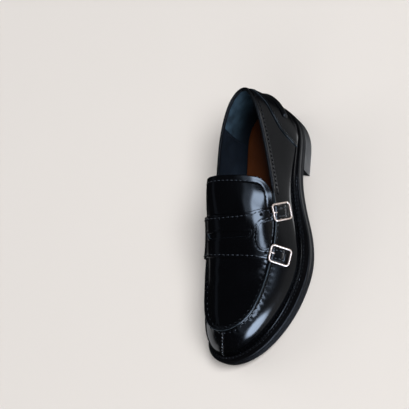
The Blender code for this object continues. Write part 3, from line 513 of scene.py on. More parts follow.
class Solid:
    """Points and faces of one piece; every face carries a material number."""

    def __init__(self):
        self.blocks = []
        self.count = 0
        self.faces = []
        self.numbers = []

    def add(self, rows):
        """Adds a block of points and returns their indices in the same layout."""
        rows = np.asarray(rows, dtype=float)
        size = rows[..., 0].size
        index = np.arange(self.count, self.count + size).reshape(rows.shape[:-1])
        self.blocks.append(rows.reshape(-1, 3))
        self.count += size
        return index

    def grid(self, index, number=0, close=False, keep=None):
        """Quads over a block of indices; close joins the last row to the first."""
        if close:
            index = np.vstack([index, index[:1]])
        quads = np.stack([index[:-1, :-1], index[1:, :-1], index[1:, 1:], index[:-1, 1:]], axis=-1)
        numbers = np.broadcast_to(number, quads.shape[:2])
        if keep is not None:
            quads = quads[keep]
            numbers = numbers[keep]
        self.faces.append(quads.reshape(-1, 4))
        self.numbers.append(numbers.reshape(-1))

    def strip(self, one, other, number=0, keep=None):
        """One strip of faces between two lines of indices."""
        self.grid(np.column_stack([one, other]), number, keep=keep)

    def sheet(self, top, under, number=0, under_number=0, rim_number=0, end_rows=(0, -1)):
        """A thick sheet: its top face, its underside and the rim between them."""
        high = self.add(top)
        low = self.add(under)
        self.grid(high, number)
        self.grid(low[:, ::-1], under_number)
        for column in (0, -1):
            self.strip(high[:, column], low[:, column], rim_number)
        for row in end_rows:
            self.strip(high[row], low[row], rim_number)

    def points(self):
        return np.vstack(self.blocks)

    def tree(self):
        """Search tree over the faces, for laying stitches on them."""
        return BVHTree.FromPolygons(self.points().tolist(), np.vstack(self.faces).tolist())


def piece(name, solid, materials, replaces=(), sharp=40.0):
    """Makes the object, rides it on the root body and hides the CAD parts that it replaces."""
    mesh = bpy.data.meshes.new(name)
    mesh.from_pydata(to_world(solid.points()).tolist(), [], np.vstack(solid.faces).tolist())
    numbers = np.concatenate(solid.numbers).astype(np.int32)
    mesh.polygons.foreach_set("material_index", numbers)
    work = bmesh.new()
    work.from_mesh(mesh)
    bmesh.ops.remove_doubles(work, verts=work.verts, dist=1e-6)
    bmesh.ops.recalc_face_normals(work, faces=work.faces)
    work.to_mesh(mesh)
    work.free()
    mesh.polygons.foreach_set("use_smooth", [True] * len(mesh.polygons))
    mesh.set_sharp_from_angle(angle=math.radians(sharp))
    for made in materials:
        mesh.materials.append(made)
    item = bpy.data.objects.new(name, mesh)
    bpy.context.scene.collection.objects.link(item)
    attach(item, "root")
    if replaces:
        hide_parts(*replaces)
    return item


def ripple(points, size, seed):
    """Gentle unevenness between -1 and 1: a few crossing waves about size mm long."""
    draw = np.random.default_rng(seed)
    total = np.zeros(points.shape[:-1])
    for _ in range(5):
        way = draw.normal(size=3)
        way = way / np.linalg.norm(way)
        phase = draw.uniform(0.0, 2.0 * math.pi)
        length = size * draw.uniform(0.7, 1.5)
        total = total + np.sin(points @ way * (2.0 * math.pi / length) + phase)
    return total / 5.0


def line_tree(line):
    """Search tree over the points of a line."""
    tree = KDTree(len(line))
    for i, point in enumerate(line):
        tree.insert(point, i)
    tree.balance()
    return tree


def distance_to(points, line):
    """Distance from every point of a grid to the nearest of some line points."""
    tree = line_tree(line)
    return np.array([tree.find(p)[2] for p in points.reshape(-1, 3)]).reshape(points.shape[:-1])


def edge_rows(width, inner_count, rim=(0.0, 0.12, 0.3, 0.55, 0.9, 1.4)):
    """Distances across a strip (mm), crowded near its two edges, for an array of widths."""
    inside = np.linspace(0.0, 1.0, inner_count + 2)[1:-1]
    width = np.asarray(width, dtype=float)[..., None]
    left = np.minimum(np.array(rim), 0.5 * width)
    span = width - 2.0 * left[..., -1:]
    return np.concatenate([left, left[..., -1:] + span * inside, width - left[..., ::-1]], axis=-1)


def rounded(away, radius):
    """How far a face drops towards an edge away mm off, for a rounded edge."""
    x = np.clip(1.0 - away / radius, 0.0, 1.0)
    return radius * (1.0 - np.sqrt(1.0 - x * x))


# ---------------------------------------------------------------- materials
def map_range(tree, value, low, high, to_low=0.0, to_high=1.0, smooth=False):
    """Output of a node that maps value from low..high to to_low..to_high."""
    node = tree.nodes.new("ShaderNodeMapRange")
    if smooth:
        node.interpolation_type = "SMOOTHSTEP"
    for name, number in (("From Min", low), ("From Max", high),
                         ("To Min", to_low), ("To Max", to_high)):
        node.inputs[name].default_value = number
    tree.links.new(value, node.inputs["Value"])
    return node.outputs["Result"]


def noise(tree, where, size, detail):
    """Output of a noise whose patches are about size mm long."""
    node = tree.nodes.new("ShaderNodeTexNoise")
    node.inputs["Scale"].default_value = 1.0 / MM / size
    node.inputs["Detail"].default_value = detail
    tree.links.new(where, node.inputs["Vector"])
    return node.outputs["Fac"]


def math_node(tree, kind, operation, value, other):
    """Output of a math node; other is a constant or the output of a node."""
    node = tree.nodes.new(kind)
    node.operation = operation
    tree.links.new(value, node.inputs[0])
    if isinstance(other, bpy.types.NodeSocket):
        tree.links.new(other, node.inputs[1])
    else:
        node.inputs[1].default_value = other
    return node.outputs["Value"]


def mix_colours(tree, factor, dark, light):
    """Output that goes from dark to light; each is a colour or the output of a node."""
    mix = tree.nodes.new("ShaderNodeMix")
    mix.data_type = "RGBA"
    tree.links.new(factor, mix.inputs["Factor"])
    for name, colour in (("A", dark), ("B", light)):
        if isinstance(colour, bpy.types.NodeSocket):
            tree.links.new(colour, mix.inputs[name])
        else:
            mix.inputs[name].default_value = (*colour, 1.0)
    return mix.outputs["Result"]


def split_axes(tree, vector):
    """The X, Y and Z outputs of a vector."""
    node = tree.nodes.new("ShaderNodeSeparateXYZ")
    tree.links.new(vector, node.inputs["Vector"])
    return node.outputs


def surface(name, dark, light, rough, grain, relief, patch=18.0, metallic=0.0, specular=0.5):
    """A procedural finish: patchy colour and roughness, and fine relief of the grain.

    grain and patch are sizes in mm, relief the depth of the grain in mm."""
    made = bpy.data.materials.new(name)
    made.use_nodes = True
    tree = made.node_tree
    shader = tree.nodes["Principled BSDF"]
    where = tree.nodes.new("ShaderNodeTexCoord").outputs["Object"]
    cloud = noise(tree, where, patch, 4.0)
    tree.links.new(mix_colours(tree, cloud, dark, light), shader.inputs["Base Color"])
    tree.links.new(map_range(tree, cloud, 0.3, 0.7, *rough), shader.inputs["Roughness"])
    bump = tree.nodes.new("ShaderNodeBump")
    bump.inputs["Strength"].default_value = 1.0
    bump.inputs["Distance"].default_value = relief * MM
    tree.links.new(noise(tree, where, grain, 3.0), bump.inputs["Height"])
    tree.links.new(bump.outputs["Normal"], shader.inputs["Normal"])
    shader.inputs["Metallic"].default_value = metallic
    shader.inputs["Specular IOR Level"].default_value = specular
    return made


LEATHER = surface("polished_leather", (0.0010, 0.0011, 0.0016), (0.0016, 0.0018, 0.0025),
                  (0.11, 0.16), 0.9, 0.008, specular=0.45)
RAW_EDGE = surface("raw_edge", (0.014, 0.021, 0.028), (0.028, 0.039, 0.050),
                   (0.5, 0.7), 0.5, 0.06)
ROLLED = surface("rolled_edge", (0.0016, 0.0017, 0.0022), (0.0028, 0.0030, 0.0036),
                 (0.52, 0.64), 0.6, 0.02, specular=0.22)
LINING = surface("smooth_lining", (0.0026, 0.0043, 0.0074), (0.0064, 0.0102, 0.0168),
                 (0.6, 0.75), 0.7, 0.04, patch=9.0, specular=0.25)
SOCK = surface("sock_leather", (0.033, 0.0088, 0.0024), (0.060, 0.0178, 0.0050),
               (0.42, 0.55), 0.8, 0.03, specular=0.3)
SEAM_THREAD = surface("seam_thread", (0.0045, 0.0055, 0.0070), (0.0090, 0.0105, 0.0130),
                      (0.22, 0.32), 0.35, 0.04, specular=0.55)
THREAD = surface("waxed_thread", (0.010, 0.0125, 0.0165), (0.018, 0.0215, 0.027),
                 (0.34, 0.48), 0.35, 0.05, specular=0.4)
BRIGHT_THREAD = surface("polished_thread", (0.020, 0.023, 0.028), (0.040, 0.045, 0.052),
                        (0.18, 0.26), 0.35, 0.03, specular=0.6)
WELT_CORD = surface("welt_cord", (0.0022, 0.0022, 0.0028), (0.0045, 0.0045, 0.0055),
                    (0.32, 0.44), 0.4, 0.06, specular=0.36)
DARK_THREAD = surface("matt_thread", (0.0012, 0.0012, 0.0015), (0.002, 0.002, 0.0025),
                      (0.7, 0.8), 0.35, 0.05, specular=0.1)
TAB = surface("tab_leather", (0.0014, 0.0014, 0.0018), (0.0035, 0.0038, 0.0046),
              (0.30, 0.42), 0.5, 0.05, specular=0.35)
# Painted shade: the flat near-black disc in each punched hole stands in for the shade down inside
# the hole.
HOLE_SHADE = surface("painted_hole_shade", (0.0006, 0.0006, 0.0008), (0.001, 0.001, 0.0012),
               (0.8, 0.9), 0.3, 0.0, specular=0.02)
RUBBER = surface("sole_rubber", (0.0050, 0.0050, 0.0056), (0.0078, 0.0078, 0.0086),
                 (0.50, 0.60), 0.5, 0.03, specular=0.09)
WELTING = surface("welt_leather", (0.0018, 0.0018, 0.0022), (0.0030, 0.0030, 0.0036),
                  (0.36, 0.46), 0.6, 0.02, specular=0.17)
STACK = surface("heel_stack", (0.008, 0.008, 0.009), (0.013, 0.013, 0.014),
                (0.38, 0.5), 0.35, 0.035)
NICKEL = surface("rose_nickel", (0.74, 0.61, 0.545), (0.82, 0.69, 0.62),
                 (0.24, 0.32), 1.2, 0.004, metallic=0.6)

# Suede of the heel grip, from painted shade low in the shoe to painted light high on its inner
# wall.
GRIP_SHADED = (0.0040, 0.0065, 0.0100)
GRIP_LIT = (0.046, 0.086, 0.128)


def add_heel_grip(made):
    """Lighter suede over the lining behind the heel grip's seam, with painted shade low down and
    painted light high up.
    """
    tree = made.node_tree
    shader = tree.nodes["Principled BSDF"]
    smooth = shader.inputs["Base Color"].links[0].from_socket
    where = tree.nodes.new("ShaderNodeTexCoord").outputs["Object"]
    axes = split_axes(tree, where)
    seam_y = Y_TOE_SHIFT - GRIP_END
    seam = map_range(tree, axes["Y"], (seam_y - 0.4) * MM, (seam_y + 0.4) * MM, smooth=True)
    # painted shade and light: the suede darkens towards the bottom of the shoe and lightens up the
    # wall
    depth = map_range(tree, axes["Z"], GRIP_SHADED_BELOW * MM, GRIP_LIT_ABOVE * MM, smooth=True)
    mottle = map_range(tree, noise(tree, where, 10.0, 6.0), 0.34, 0.66, 0.45, 1.25)
    # painted light times the suede's own mottling
    painted_light_and_mottle = math_node(tree, "ShaderNodeMath", "MULTIPLY", depth, mottle)
    suede = mix_colours(tree, painted_light_and_mottle, GRIP_SHADED, GRIP_LIT)
    tree.links.new(mix_colours(tree, seam, smooth, suede), shader.inputs["Base Color"])


add_heel_grip(LINING)


# ---------------------------------------------------------------- upper
def seam_share(t):
    """Share k of the way from the toe to the throat for places t on the top edge."""
    lateral = np.interp(-t, -LATERAL.t, LATERAL.run) / LATERAL.throat
    medial = np.interp(t, MEDIAL.t, MEDIAL.run) / MEDIAL.throat
    return np.where(t < TOE_T, lateral, medial)


def seam_way(t):
    """Direction in which the apron seam stands up: between the wall and the apron."""
    side = np.where(t < TOE_T, 1.0, -1.0)
    k = np.clip(seam_share(t), 0.03, 1.1)
    over = unit_normal(instep, k, side * 0.93, 0.012, 0.05)
    return unit(over + wall_normal(t, np.full_like(t, 0.95)))


def band_share(t):
    """1 behind the throat, where the topline has its folded band; 0 along the apron."""
    throat = abs(float(LATERAL(1.0)) - TOE_T)
    return smooth_step((np.abs(t - TOE_T) - throat) / 0.03)


def shares_below(t, d):
    """Share h of the wall at distances d (mm) below the top edge, and the wall's length."""
    h = np.linspace(1.0, 0.0, 49)
    run = run_length(wall(t[:, None], h[None]))
    return np.stack([np.interp(d[i], run[i], h) for i in range(len(t))]), run[:, -1]


FROM_THROAT = np.linspace(1.0, 0.0, 401)
SEAM_T = np.concatenate([LATERAL(FROM_THROAT), MEDIAL(FROM_THROAT[::-1][1:])])
SEAM_LINE = top_edge(SEAM_T)
SEAM_RUN = run_length(SEAM_LINE)
SEAM_MIDDLE = 0.46 * SEAM_RUN[-1]      # the toe, measured along the seam


def ridge_lift(d):
    """Pinched seam: two cut edges side by side, rolling down to the leather."""
    lift = RIDGE_HEIGHT * (1.0 - smooth_step((d - 0.40) / 2.0))
    return lift - 0.30 * (1.0 - smooth_step(d / 0.35))


def band_lift(d):
    """Folded band: a soft roll, the channel of its stitches, a thin margin and a step."""
    step = BAND_STEP * (1.0 - smooth_step((d - BAND_WIDTH + 0.3) / 0.9))
    roll = 0.42 * np.sin(math.pi * np.clip((d - 1.36) / 4.6, 0.0, 1.0))
    return step + roll - 0.18 * hump(d, BAND_WIDTH - BAND_ROW, 0.6)


def pucker_wave(place):
    """Pleats gathered by the seam's stitches, at places (mm) along it."""
    beat = place / PUCKER_PITCH + 0.10 * np.sin(place / 17.0)
    return np.cos(2.0 * math.pi * beat)


def find_front_seam():
    """Places t at the top and foot of the vertical seam at the toe."""
    t = np.linspace(TOE_T - 0.08, TOE_T + 0.12, 400)
    high = t[np.argmin(np.abs(top_edge(t)[:, 1] - FRONT_TOP_V))]
    low = t[np.argmin(np.abs(wall(t, np.zeros_like(t))[:, 1] - FRONT_FOOT_V))]
    return float(high), float(low)


FRONT_TOP, FRONT_FOOT = find_front_seam()


def front_t(h):
    """Place t of the vertical seam at share h of the wall."""
    return FRONT_TOP + (FRONT_FOOT - FRONT_TOP) * (1.0 - h)


def folds(points):
    """Depth (mm, inward) of all the listed folds at these points."""
    total = np.zeros(points.shape[:-1])
    for fold in FOLDS:
        way = unit(np.array([fold.du, fold.dv, fold.dz]))
        away = points - np.array([fold.u, fold.v, fold.z])
        along = away @ way
        aside = np.linalg.norm(away - along[..., None] * way, axis=-1)
        total = total + fold.depth * (hump(along, 0.0, fold.half_length)
                                      * hump(aside, 0.0, fold.half_width))
    return total


def lean_to_seam(normal, seam, near):
    """The leather's normal, turned towards the seam's direction near the seam."""
    return unit(normal * (1.0 - near) + seam * near)


def outer_wall(t, d):
    """Outer face of the wall at distances d below its top edge; t (n,), d (n, m)."""
    h, length = shares_below(t, d)
    grid_t, _ = lattice(t, d[0])
    base = wall(grid_t, h)
    share = band_share(t)[:, None]
    near = hump(d, 0.0, 2.2)[..., None] * (1.0 - share)[..., None]
    way = lean_to_seam(wall_normal(grid_t, h), seam_way(t)[:, None], near)
    lift = ridge_lift(d) * (1.0 - share) + band_lift(d) * share
    # puckers, deepest round the toe
    place = np.interp(t, SEAM_T, SEAM_RUN)[:, None]
    toe_like = hump(place, SEAM_MIDDLE, 62.0)
    fade = smooth_step((d - 1.2) / 2.2) * (1.0 - smooth_step((d - 3.0) / (3.5 + 3.5 * toe_like)))
    size = PUCKER_DEPTH * (0.30 + 0.70 * toe_like) * (1.0 + 0.35 * np.sin(place / 7.3 + 1.0))
    pucker = size * fade * pucker_wave(place) * (1.0 - share)
    # vertical seam at the toe: a ridge with the channel of its stitches beside it
    aside = (grid_t - front_t(h)) * AROUND.length * (0.75 + 0.25 * (1.0 - h))
    front = 0.65 * hump(aside, 0.0, 0.7) - 0.30 * hump(aside, FRONT_ROW, 0.9)
    front = front * smooth_step((d - 1.2) / 1.5)
    clear = smooth_step((d - 3.0) / 5.0)
    wave = 0.16 * ripple(base, 34.0, 3) * clear - folds(base) * clear
    flare = FLARE * np.clip(1.0 - (length[:, None] - d) / FLARE_HEIGHT, 0.0, 1.0) ** 2
    return base + way * (lift + pucker + front + wave + flare)[..., None]


# Rows of the outer face: distances (mm) below the top edge along the apron and along the
# band, and above the foot of the wall.
RIDGE_NEAR = np.array([0.22, 0.42, 0.60, 0.85, 1.15, 1.45, 1.8, 2.15, 2.5, 2.9, 3.3, 3.8, 4.5,
                       5.4, 6.4, 7.6, 9.2, 11.5, 14.0, 17.0])
BAND_NEAR = np.array([1.36, 2.2, 3.2, 4.2, 5.1, 5.6, 5.95, 6.2, 6.45, 6.7, 6.95, 7.2, 7.45,
                      7.7, 7.95, 8.2, 9.0, 11.0, 13.8, 17.0])
FOOT_ROWS = np.array([2.4, 1.9, 1.45, 1.05, 0.7, 0.4, 0.18, 0.0])
FAR_ROWS = 18                # rows between those near the top edge and those at the foot
CAP_STEPS = 9
INNER_ROWS = 16


def upper_columns():
    """Places t round the upper, closer together along the apron seam."""
    front = np.linspace(1.0, 0.0, 271)
    rear_lateral = np.linspace(0.0, float(LATERAL(1.0)), 111)[:-1]
    rear_medial = np.linspace(float(MEDIAL(1.0)), 1.0, 111)[1:-1]
    return np.concatenate([rear_lateral, LATERAL(front), MEDIAL(front[::-1][1:]), rear_medial])


def build_quarters():
    """Quarters and vamp: one leather wall round the foot with its lining."""
    t = upper_columns()
    share = band_share(t)[:, None]
    near = RIDGE_NEAR[None] * (1.0 - share) + BAND_NEAR[None] * share
    _, length = shares_below(t, near)
    rest = np.linspace(0.0, 1.0, FAR_ROWS + 1)[1:]
    far = near[:, -1:] + (length[:, None] - 3.0 - near[:, -1:]) * rest[None]
    outer = outer_wall(t, np.hstack([near, far, length[:, None] - FOOT_ROWS[None]]))
    # the top edge: rolled over along the band, cut along the apron seam
    top = wall(t, np.ones_like(t))
    down = unit(wall(t, np.full_like(t, 0.97)) - top)
    out = wall_normal(t, np.ones_like(t))
    turn = np.linspace(math.pi, 0.0, CAP_STEPS)
    radius = 0.5 * (WALL + BAND_STEP)
    round_top = (top[:, None] + out[:, None] * (radius * np.cos(turn) - WALL / 2.0
                                                + BAND_STEP / 2.0)[None, :, None]
                 + down[:, None] * (radius * (1.0 - np.sin(turn)))[None, :, None])
    rise = np.linspace(-WALL, RIDGE_HEIGHT - 0.3, CAP_STEPS)
    cut_edge = top[:, None] + seam_way(t)[:, None] * rise[None, :, None]
    cap = cut_edge * (1.0 - share[..., None]) + round_top * share[..., None]
    # the lining, from the foot up, with the heel grip standing proud of it
    depth = np.linspace(1.0, 0.0, INNER_ROWS + 1)[:-1]
    start = near[:, :1] + 0.3
    inner_h, _ = shares_below(t, start + (length[:, None] - start) * depth[None] ** 1.3)
    grid_t, _ = lattice(t, depth)
    bare = wall(grid_t, inner_h)
    grip = 1.0 - smooth_step((bare[..., 0] - GRIP_END + 0.3) / 0.6)
    inner = bare - wall_normal(grid_t, inner_h) * (WALL + GRIP_THICK * grip)[..., None]
    section = np.concatenate([inner, cap, outer, inner[:, :1]], axis=1)
    # 0 leather, 1 lining, 2 raw edge, 3 rolled edge
    numbers = np.zeros((len(t), section.shape[1] - 1), dtype=int)
    numbers[:, :INNER_ROWS + 1] = 1
    first_outer = INNER_ROWS + CAP_STEPS
    in_front = share[:, 0] < 0.5
    numbers[in_front, INNER_ROWS:first_outer + 1] = 2
    numbers[~in_front, INNER_ROWS - 1:first_outer + 1] = 3
    solid = Solid()
    solid.grid(solid.add(section), numbers, close=True)
    piece("upper_quarters", solid, [LEATHER, LINING, RAW_EDGE, ROLLED],
          ["upper"])
    return solid.tree()


APRON_TIP = 0.13             # rows of the apron crowd towards the toe up to this share
APRON_SKEW = 0.55            # its rows start to slant towards its skewed end here


def plug_rows():
    """Shares k of the apron's rows, from the toe back."""
    tip = APRON_TIP * np.sqrt(np.linspace(0.0, 1.0, 19))
    return np.concatenate([tip, np.linspace(APRON_TIP, float(share_at(PLUG_END)), 150)[1:]])


def skew(g):
    """How much further back (mm) the apron ends at girth place g."""
    return PLUG_SKEW * smooth_step((g - 0.35) / 0.4)


def apron_surface(k, w):
    """Outer and plain face of the apron, and its normal, with the raised seam's inner half."""
    base = instep(k, w)
    normal = unit_normal(instep, np.maximum(k, 0.03), np.clip(w, -0.96, 0.96), 0.012, 0.05)
    tree = line_tree(SEAM_LINE)
    flat = base.reshape(-1, 3)
    place = np.array([tree.find(point)[1] for point in flat])
    d = point_to_line(flat, SEAM_LINE, place).reshape(base.shape[:-1])
    seam = seam_way(SEAM_T)[place].reshape(base.shape)
    way = lean_to_seam(normal, seam, hump(d, 0.0, 2.2)[..., None])
    fade = smooth_step((d - 1.2) / 2.0) * (1.0 - smooth_step((d - 3.0) / 4.0))
    pucker = 0.10 * fade * pucker_wave(SEAM_RUN[place].reshape(d.shape))
    clear = smooth_step((d - 3.0) / 6.0)
    wave = 0.14 * ripple(base, 40.0, 8) * clear - folds(base) * clear
    return base + way * (ridge_lift(d) + pucker + wave)[..., None], base, normal


def point_to_line(points, line, place):
    """Distance from each point to the pieces of line on both sides of its nearest sample."""
    best = np.full(len(points), np.inf)
    for shift in (-1, 0):
        first = np.clip(place + shift, 0, len(line) - 2)
        run = line[first + 1] - line[first]
        away = points - line[first]
        s = np.clip(np.sum(away * run, axis=1) / np.sum(run * run, axis=1), 0.0, 1.0)
        best = np.minimum(best, np.linalg.norm(away - run * s[:, None], axis=1))
    return best


def build_apron():
    """The apron (plug) inside the raised seam, one leather thick."""
    rows = plug_rows()
    columns = crowded(121, 1.45)
    reach = share_at(PLUG_END - skew(columns))
    late = np.maximum(rows - APRON_SKEW, 0.0) / (rows[-1] - APRON_SKEW)
    k = np.minimum(rows, APRON_SKEW)[:, None] + late[:, None] * (reach - APRON_SKEW)[None]
    outer, base, normal = apron_surface(k, lattice(rows, columns)[1])
    # the cut edge of the raised seam shows as a raw edge
    middle = 0.5 * (columns[1:] + columns[:-1])
    lateral, medial = edge_pair(0.5 * (rows[1:] + rows[:-1]))
    width = np.linalg.norm(lateral - medial, axis=-1)
    from_edge = (1.0 - np.abs(middle))[None] * 0.5 * width[:, None]
    solid = Solid()
    solid.sheet(outer, base - normal * WALL, np.where(from_edge < 0.40, 1, 0), end_rows=(-1,))
    piece("apron", solid, [LEATHER, RAW_EDGE], ["upper"])
    return solid.tree()


# ---------------------------------------------------------------- tongue
def tongue_shape(from_top, across):
    """Station and girth place: from_top mm below the tip, across from -1 to 1."""
    away = np.clip((TONGUE_CORNER - from_top) / TONGUE_CORNER, 0.0, 1.0)
    corner_cut = np.where(across > 0.0, 0.24, 0.34)
    trim = 1.0 - corner_cut * (1.0 - np.sqrt(np.maximum(1.0 - away ** 2, 0.0)))
    side = np.where(across > 0.0, TONGUE_LATERAL, TONGUE_MEDIAL)
    g = across * side * trim
    stand_back = 1.8 * smooth_step(g / 0.7) * (1.0 - smooth_step(from_top / TONGUE_CORNER))
    return TONGUE_TOP + from_top - stand_back, g


def tongue_face(from_top, across, lift):
    """Points of the tongue, raised by lift; it tucks in under the medial edge and apron."""
    station, g = tongue_shape(from_top, across)
    free = 1.0 - smooth_step((from_top - 10.0) / 18.0)
    flank = TONGUE_FLANK * free * (np.clip(g - 0.42, 0.0, 1.0) / 0.50) ** 1.5
    covered = smooth_step((from_top - 28.0) / 5.0)
    tuck = (WALL + 0.5 - (WALL + 0.1) * covered) * smooth_step((-0.82 - g) / 0.14)
    apron_end = PLUG_END - TONGUE_TOP - skew(g)
    under = (WALL + 0.4) * smooth_step((from_top - apron_end + 4.0) / 2.5)
    droop = TIP_DROOP * smooth_step((g + 0.1) / 0.6) * smooth_step(1.0 - from_top / 17.0)
    return lifted_girth(station, g, flank - droop - tuck - under + lift)


def build_tongue():
    """The tongue with its rounded edges, the groove of its stitches and its curled edge."""
    from_top, wide = lattice(edge_rows(np.array(TONGUE_LENGTH), 56), crowded(101, 1.35))
    flat = tongue_face(from_top, wide, 0.0)
    away = distance_to(flat, np.concatenate([flat[0], flat[:, 0], flat[:, -1]]))
    dent = 0.35 * np.exp(-(((from_top - 14.0) / 7.0) ** 2 + ((wide - 0.40) / 0.25) ** 2))
    wave = 0.15 * ripple(flat, 30.0, 21) * smooth_step(away / 8.0)
    groove = 0.22 * hump(distance_to(flat, tongue_row(TONGUE_ROW)), 0.0, 0.8)
    curl = EDGE_CURL * np.clip(1.0 - away / 5.5, 0.0, 1.0) ** 2 * smooth_step((wide + 0.3) / 0.5)
    curl = curl * (1.0 - smooth_step((from_top - 20.0) / 8.0))
    drop = rounded(away, 0.9)
    solid = Solid()
    solid.sheet(tongue_face(from_top, wide, -drop - groove - dent + wave + curl),
                tongue_face(from_top, wide, -TONGUE_THICK + drop + curl),
                under_number=1, rim_number=2)
    piece("tongue_leather", solid, [LEATHER, LINING, RAW_EDGE], ["tongue"])
    return solid.tree()


# ---------------------------------------------------------------- saddle and its straps
def quarter_round(x):
    """0 at 0 and 1 at 1, along a quarter of a circle: the round end of a slot or gap."""
    return np.sqrt(1.0 - (1.0 - np.clip(x, 0.0, 1.0)) ** 2)


def saddle_edges(g):
    """Stations of the saddle's edges at girth places g: front, split front and back, back."""
    front, low_top, slot_front, slot_back, high_bottom, back = smooth_table(SADDLE, g).T
    open_slot = quarter_round((SLOT_TO - np.abs(g)) / SLOT_TAPER)
    past = (g - GAP_FROM) / GAP_ROUND
    open_gap = quarter_round(past)
    _, end_top, _, _, end_bottom, _ = smooth_table(SADDLE, np.array(GAP_FROM + GAP_ROUND))
    low_top = np.where(past < 1.0, end_top, low_top)
    high_bottom = np.where(past < 1.0, end_bottom, high_bottom)
    gap_middle = 0.5 * (end_top + end_bottom)
    settle = smooth_step((g - SLOT_TO) / (GAP_FROM - SLOT_TO))
    middle = slot_back * (1.0 - settle) + gap_middle * settle
    in_slot = np.abs(g) < SLOT_TO
    split_front = np.where(in_slot, slot_back + (slot_front - slot_back) * open_slot,
                           middle + (low_top - middle) * open_gap)
    split_back = np.where(in_slot, slot_back, middle + (high_bottom - middle) * open_gap)
    return front, split_front, split_back, back


def saddle_face(station, g, level):
    """Points of the saddle, level mm above its underside; it rises over the buckles' bars."""
    over_bar = smooth_step((g - 0.90) / 0.10) * (1.0 - smooth_step((g - 1.20) / 0.14))
    over_ridge = np.where(g < 0.0, RIDGE_HEIGHT, 0.0)
    return lifted_girth(station, g, SADDLE_LIFT + STRAP_RISE * over_bar + level, over_ridge)


def saddle_places():
    """Girth places of the saddle's columns, crowded at the slot's and gap's ends."""
    bend = 1.0 - np.cos(np.linspace(0.0, 0.5 * math.pi, 12))
    runs = [np.linspace(SADDLE[0].g, -SLOT_TO, 86), -SLOT_TO + SLOT_TAPER * bend,
            np.linspace(SLOT_TAPER - SLOT_TO, SLOT_TO - SLOT_TAPER, 44),
            SLOT_TO - SLOT_TAPER * bend[::-1], np.linspace(SLOT_TO, GAP_FROM, 12),
            GAP_FROM + GAP_ROUND * bend, np.linspace(GAP_FROM + GAP_ROUND, 1.37, 70),
            SADDLE[-1].g - 0.03 * np.array([0.75, 0.5, 0.3, 0.15, 0.06, 0.0])]
    return np.unique(np.round(np.concatenate(runs), 6))


def build_saddle():
    """The saddle and its two straps, as a half on each side of the slot and the gap."""
    g = saddle_places()
    front, split_front, split_back, back = saddle_edges(g)
    closed = np.abs(split_front - split_back) < 1e-6
    halves = [front[:, None] - edge_rows(front - split_front, 18),
              split_back[:, None] - edge_rows(split_back - back, 18)]
    wide, _ = lattice(g, halves[0][0])
    flat = [saddle_face(station, wide, 0.0) for station in halves]
    line = np.concatenate([flat[0][:, 0], flat[1][:, -1], flat[0][~closed][:, -1],
                           flat[1][~closed][:, 0], flat[0][-1], flat[1][-1]])
    solid = Solid()
    # between the two halves there is a rim only along the slot and the gap
    for station, base, inner_column in zip(halves, flat, (-1, 0)):
        away = distance_to(base, line)
        groove = 0.15 * hump(away, SADDLE_ROW, 0.7)
        wave = 0.12 * ripple(base, 28.0, 31) * smooth_step(away / 6.0)
        high = solid.add(saddle_face(station, wide,
                                     SADDLE_THICK - rounded(away, 0.6) - groove + wave))
        low = solid.add(saddle_face(station, wide, np.zeros_like(station)))
        solid.grid(high)
        solid.grid(low[:, ::-1])
        for column in (0, -1):
            keep = (~closed[1:] | ~closed[:-1])[:, None] if column == inner_column else None
            solid.strip(high[:, column], low[:, column], 1, keep)
        for row in (0, -1):
            solid.strip(high[row], low[row], 1)
    piece("saddle_straps", solid, [LEATHER, RAW_EDGE], ["saddle_strap"])
    return solid.tree()


# ---------------------------------------------------------------- back of the shoe
def build_counter():
    """Heel counter laid over the back, with its raw front edge."""
    reach = COUNTER_EDGE[-1].distance
    distance = edge_rows(np.array(2.0 * reach), 150) - reach
    t = distance / AROUND.length
    share = smooth_table(COUNTER_EDGE, np.abs(distance))[..., 0]
    rise = edge_rows(np.array(1.0), 34, rim=(0.0, 0.004, 0.01, 0.018, 0.03))[::-1]
    h = COUNTER_FOOT + rise[None] * (share - COUNTER_FOOT)[:, None]
    grid_t, _ = lattice(t, rise)
    base = wall(grid_t, h)
    normal = wall_normal(grid_t, h)
    away = distance_to(base, np.concatenate([base[:, 0], base[0], base[-1]]))
    groove = 0.14 * hump(away, COUNTER_ROW, 0.7)
    wave = 0.10 * ripple(base, 26.0, 41) * smooth_step(away / 5.0)
    lift = CURVED_GAP + COUNTER_THICK - rounded(away, 0.5) - groove + wave
    solid = Solid()
    solid.sheet(base + normal * lift[..., None], base + normal * CURVED_GAP, rim_number=1)
    piece("counter_leather", solid, [LEATHER, RAW_EDGE], ["heel_counter"])
    return solid.tree()


def build_heel_tab():
    """Raised tab with thick whip stitches across it."""
    distance = np.linspace(-TAB_REACH, TAB_REACH, 261)
    centre = TAB_MIDDLE - 0.02 * (np.abs(distance) / TAB_REACH) ** 2
    across = np.linspace(-1.0, 1.0, 25)
    h = centre[:, None] + TAB_HALF * across[None]
    grid_t, _ = lattice(distance / AROUND.length, across)
    base = wall(grid_t, h)
    normal = wall_normal(grid_t, h)
    crown = 0.30 + 0.70 * np.sqrt(np.maximum(1.0 - np.abs(across) ** 2.4, 0.0))
    beat = distance[:, None] / WHIP_PITCH + 0.9 * across[None]
    twist = WHIP_DEPTH * np.abs(np.sin(math.pi * beat)) ** 0.6
    ends = smooth_step((TAB_REACH - np.abs(distance)) / 2.6)[:, None]
    low = 2.0 * CURVED_GAP + COUNTER_THICK + 0.12
    body = (TAB_THICK - WHIP_DEPTH) * crown[None] * (0.06 + 0.94 * ends)
    lift = low + body + twist * crown[None] * ends
    solid = Solid()
    solid.sheet(base + normal * lift[..., None], base + normal * (low - TAB_SUNK))
    piece("whipped_heel_tab", solid, [TAB], ["heel_tab"])


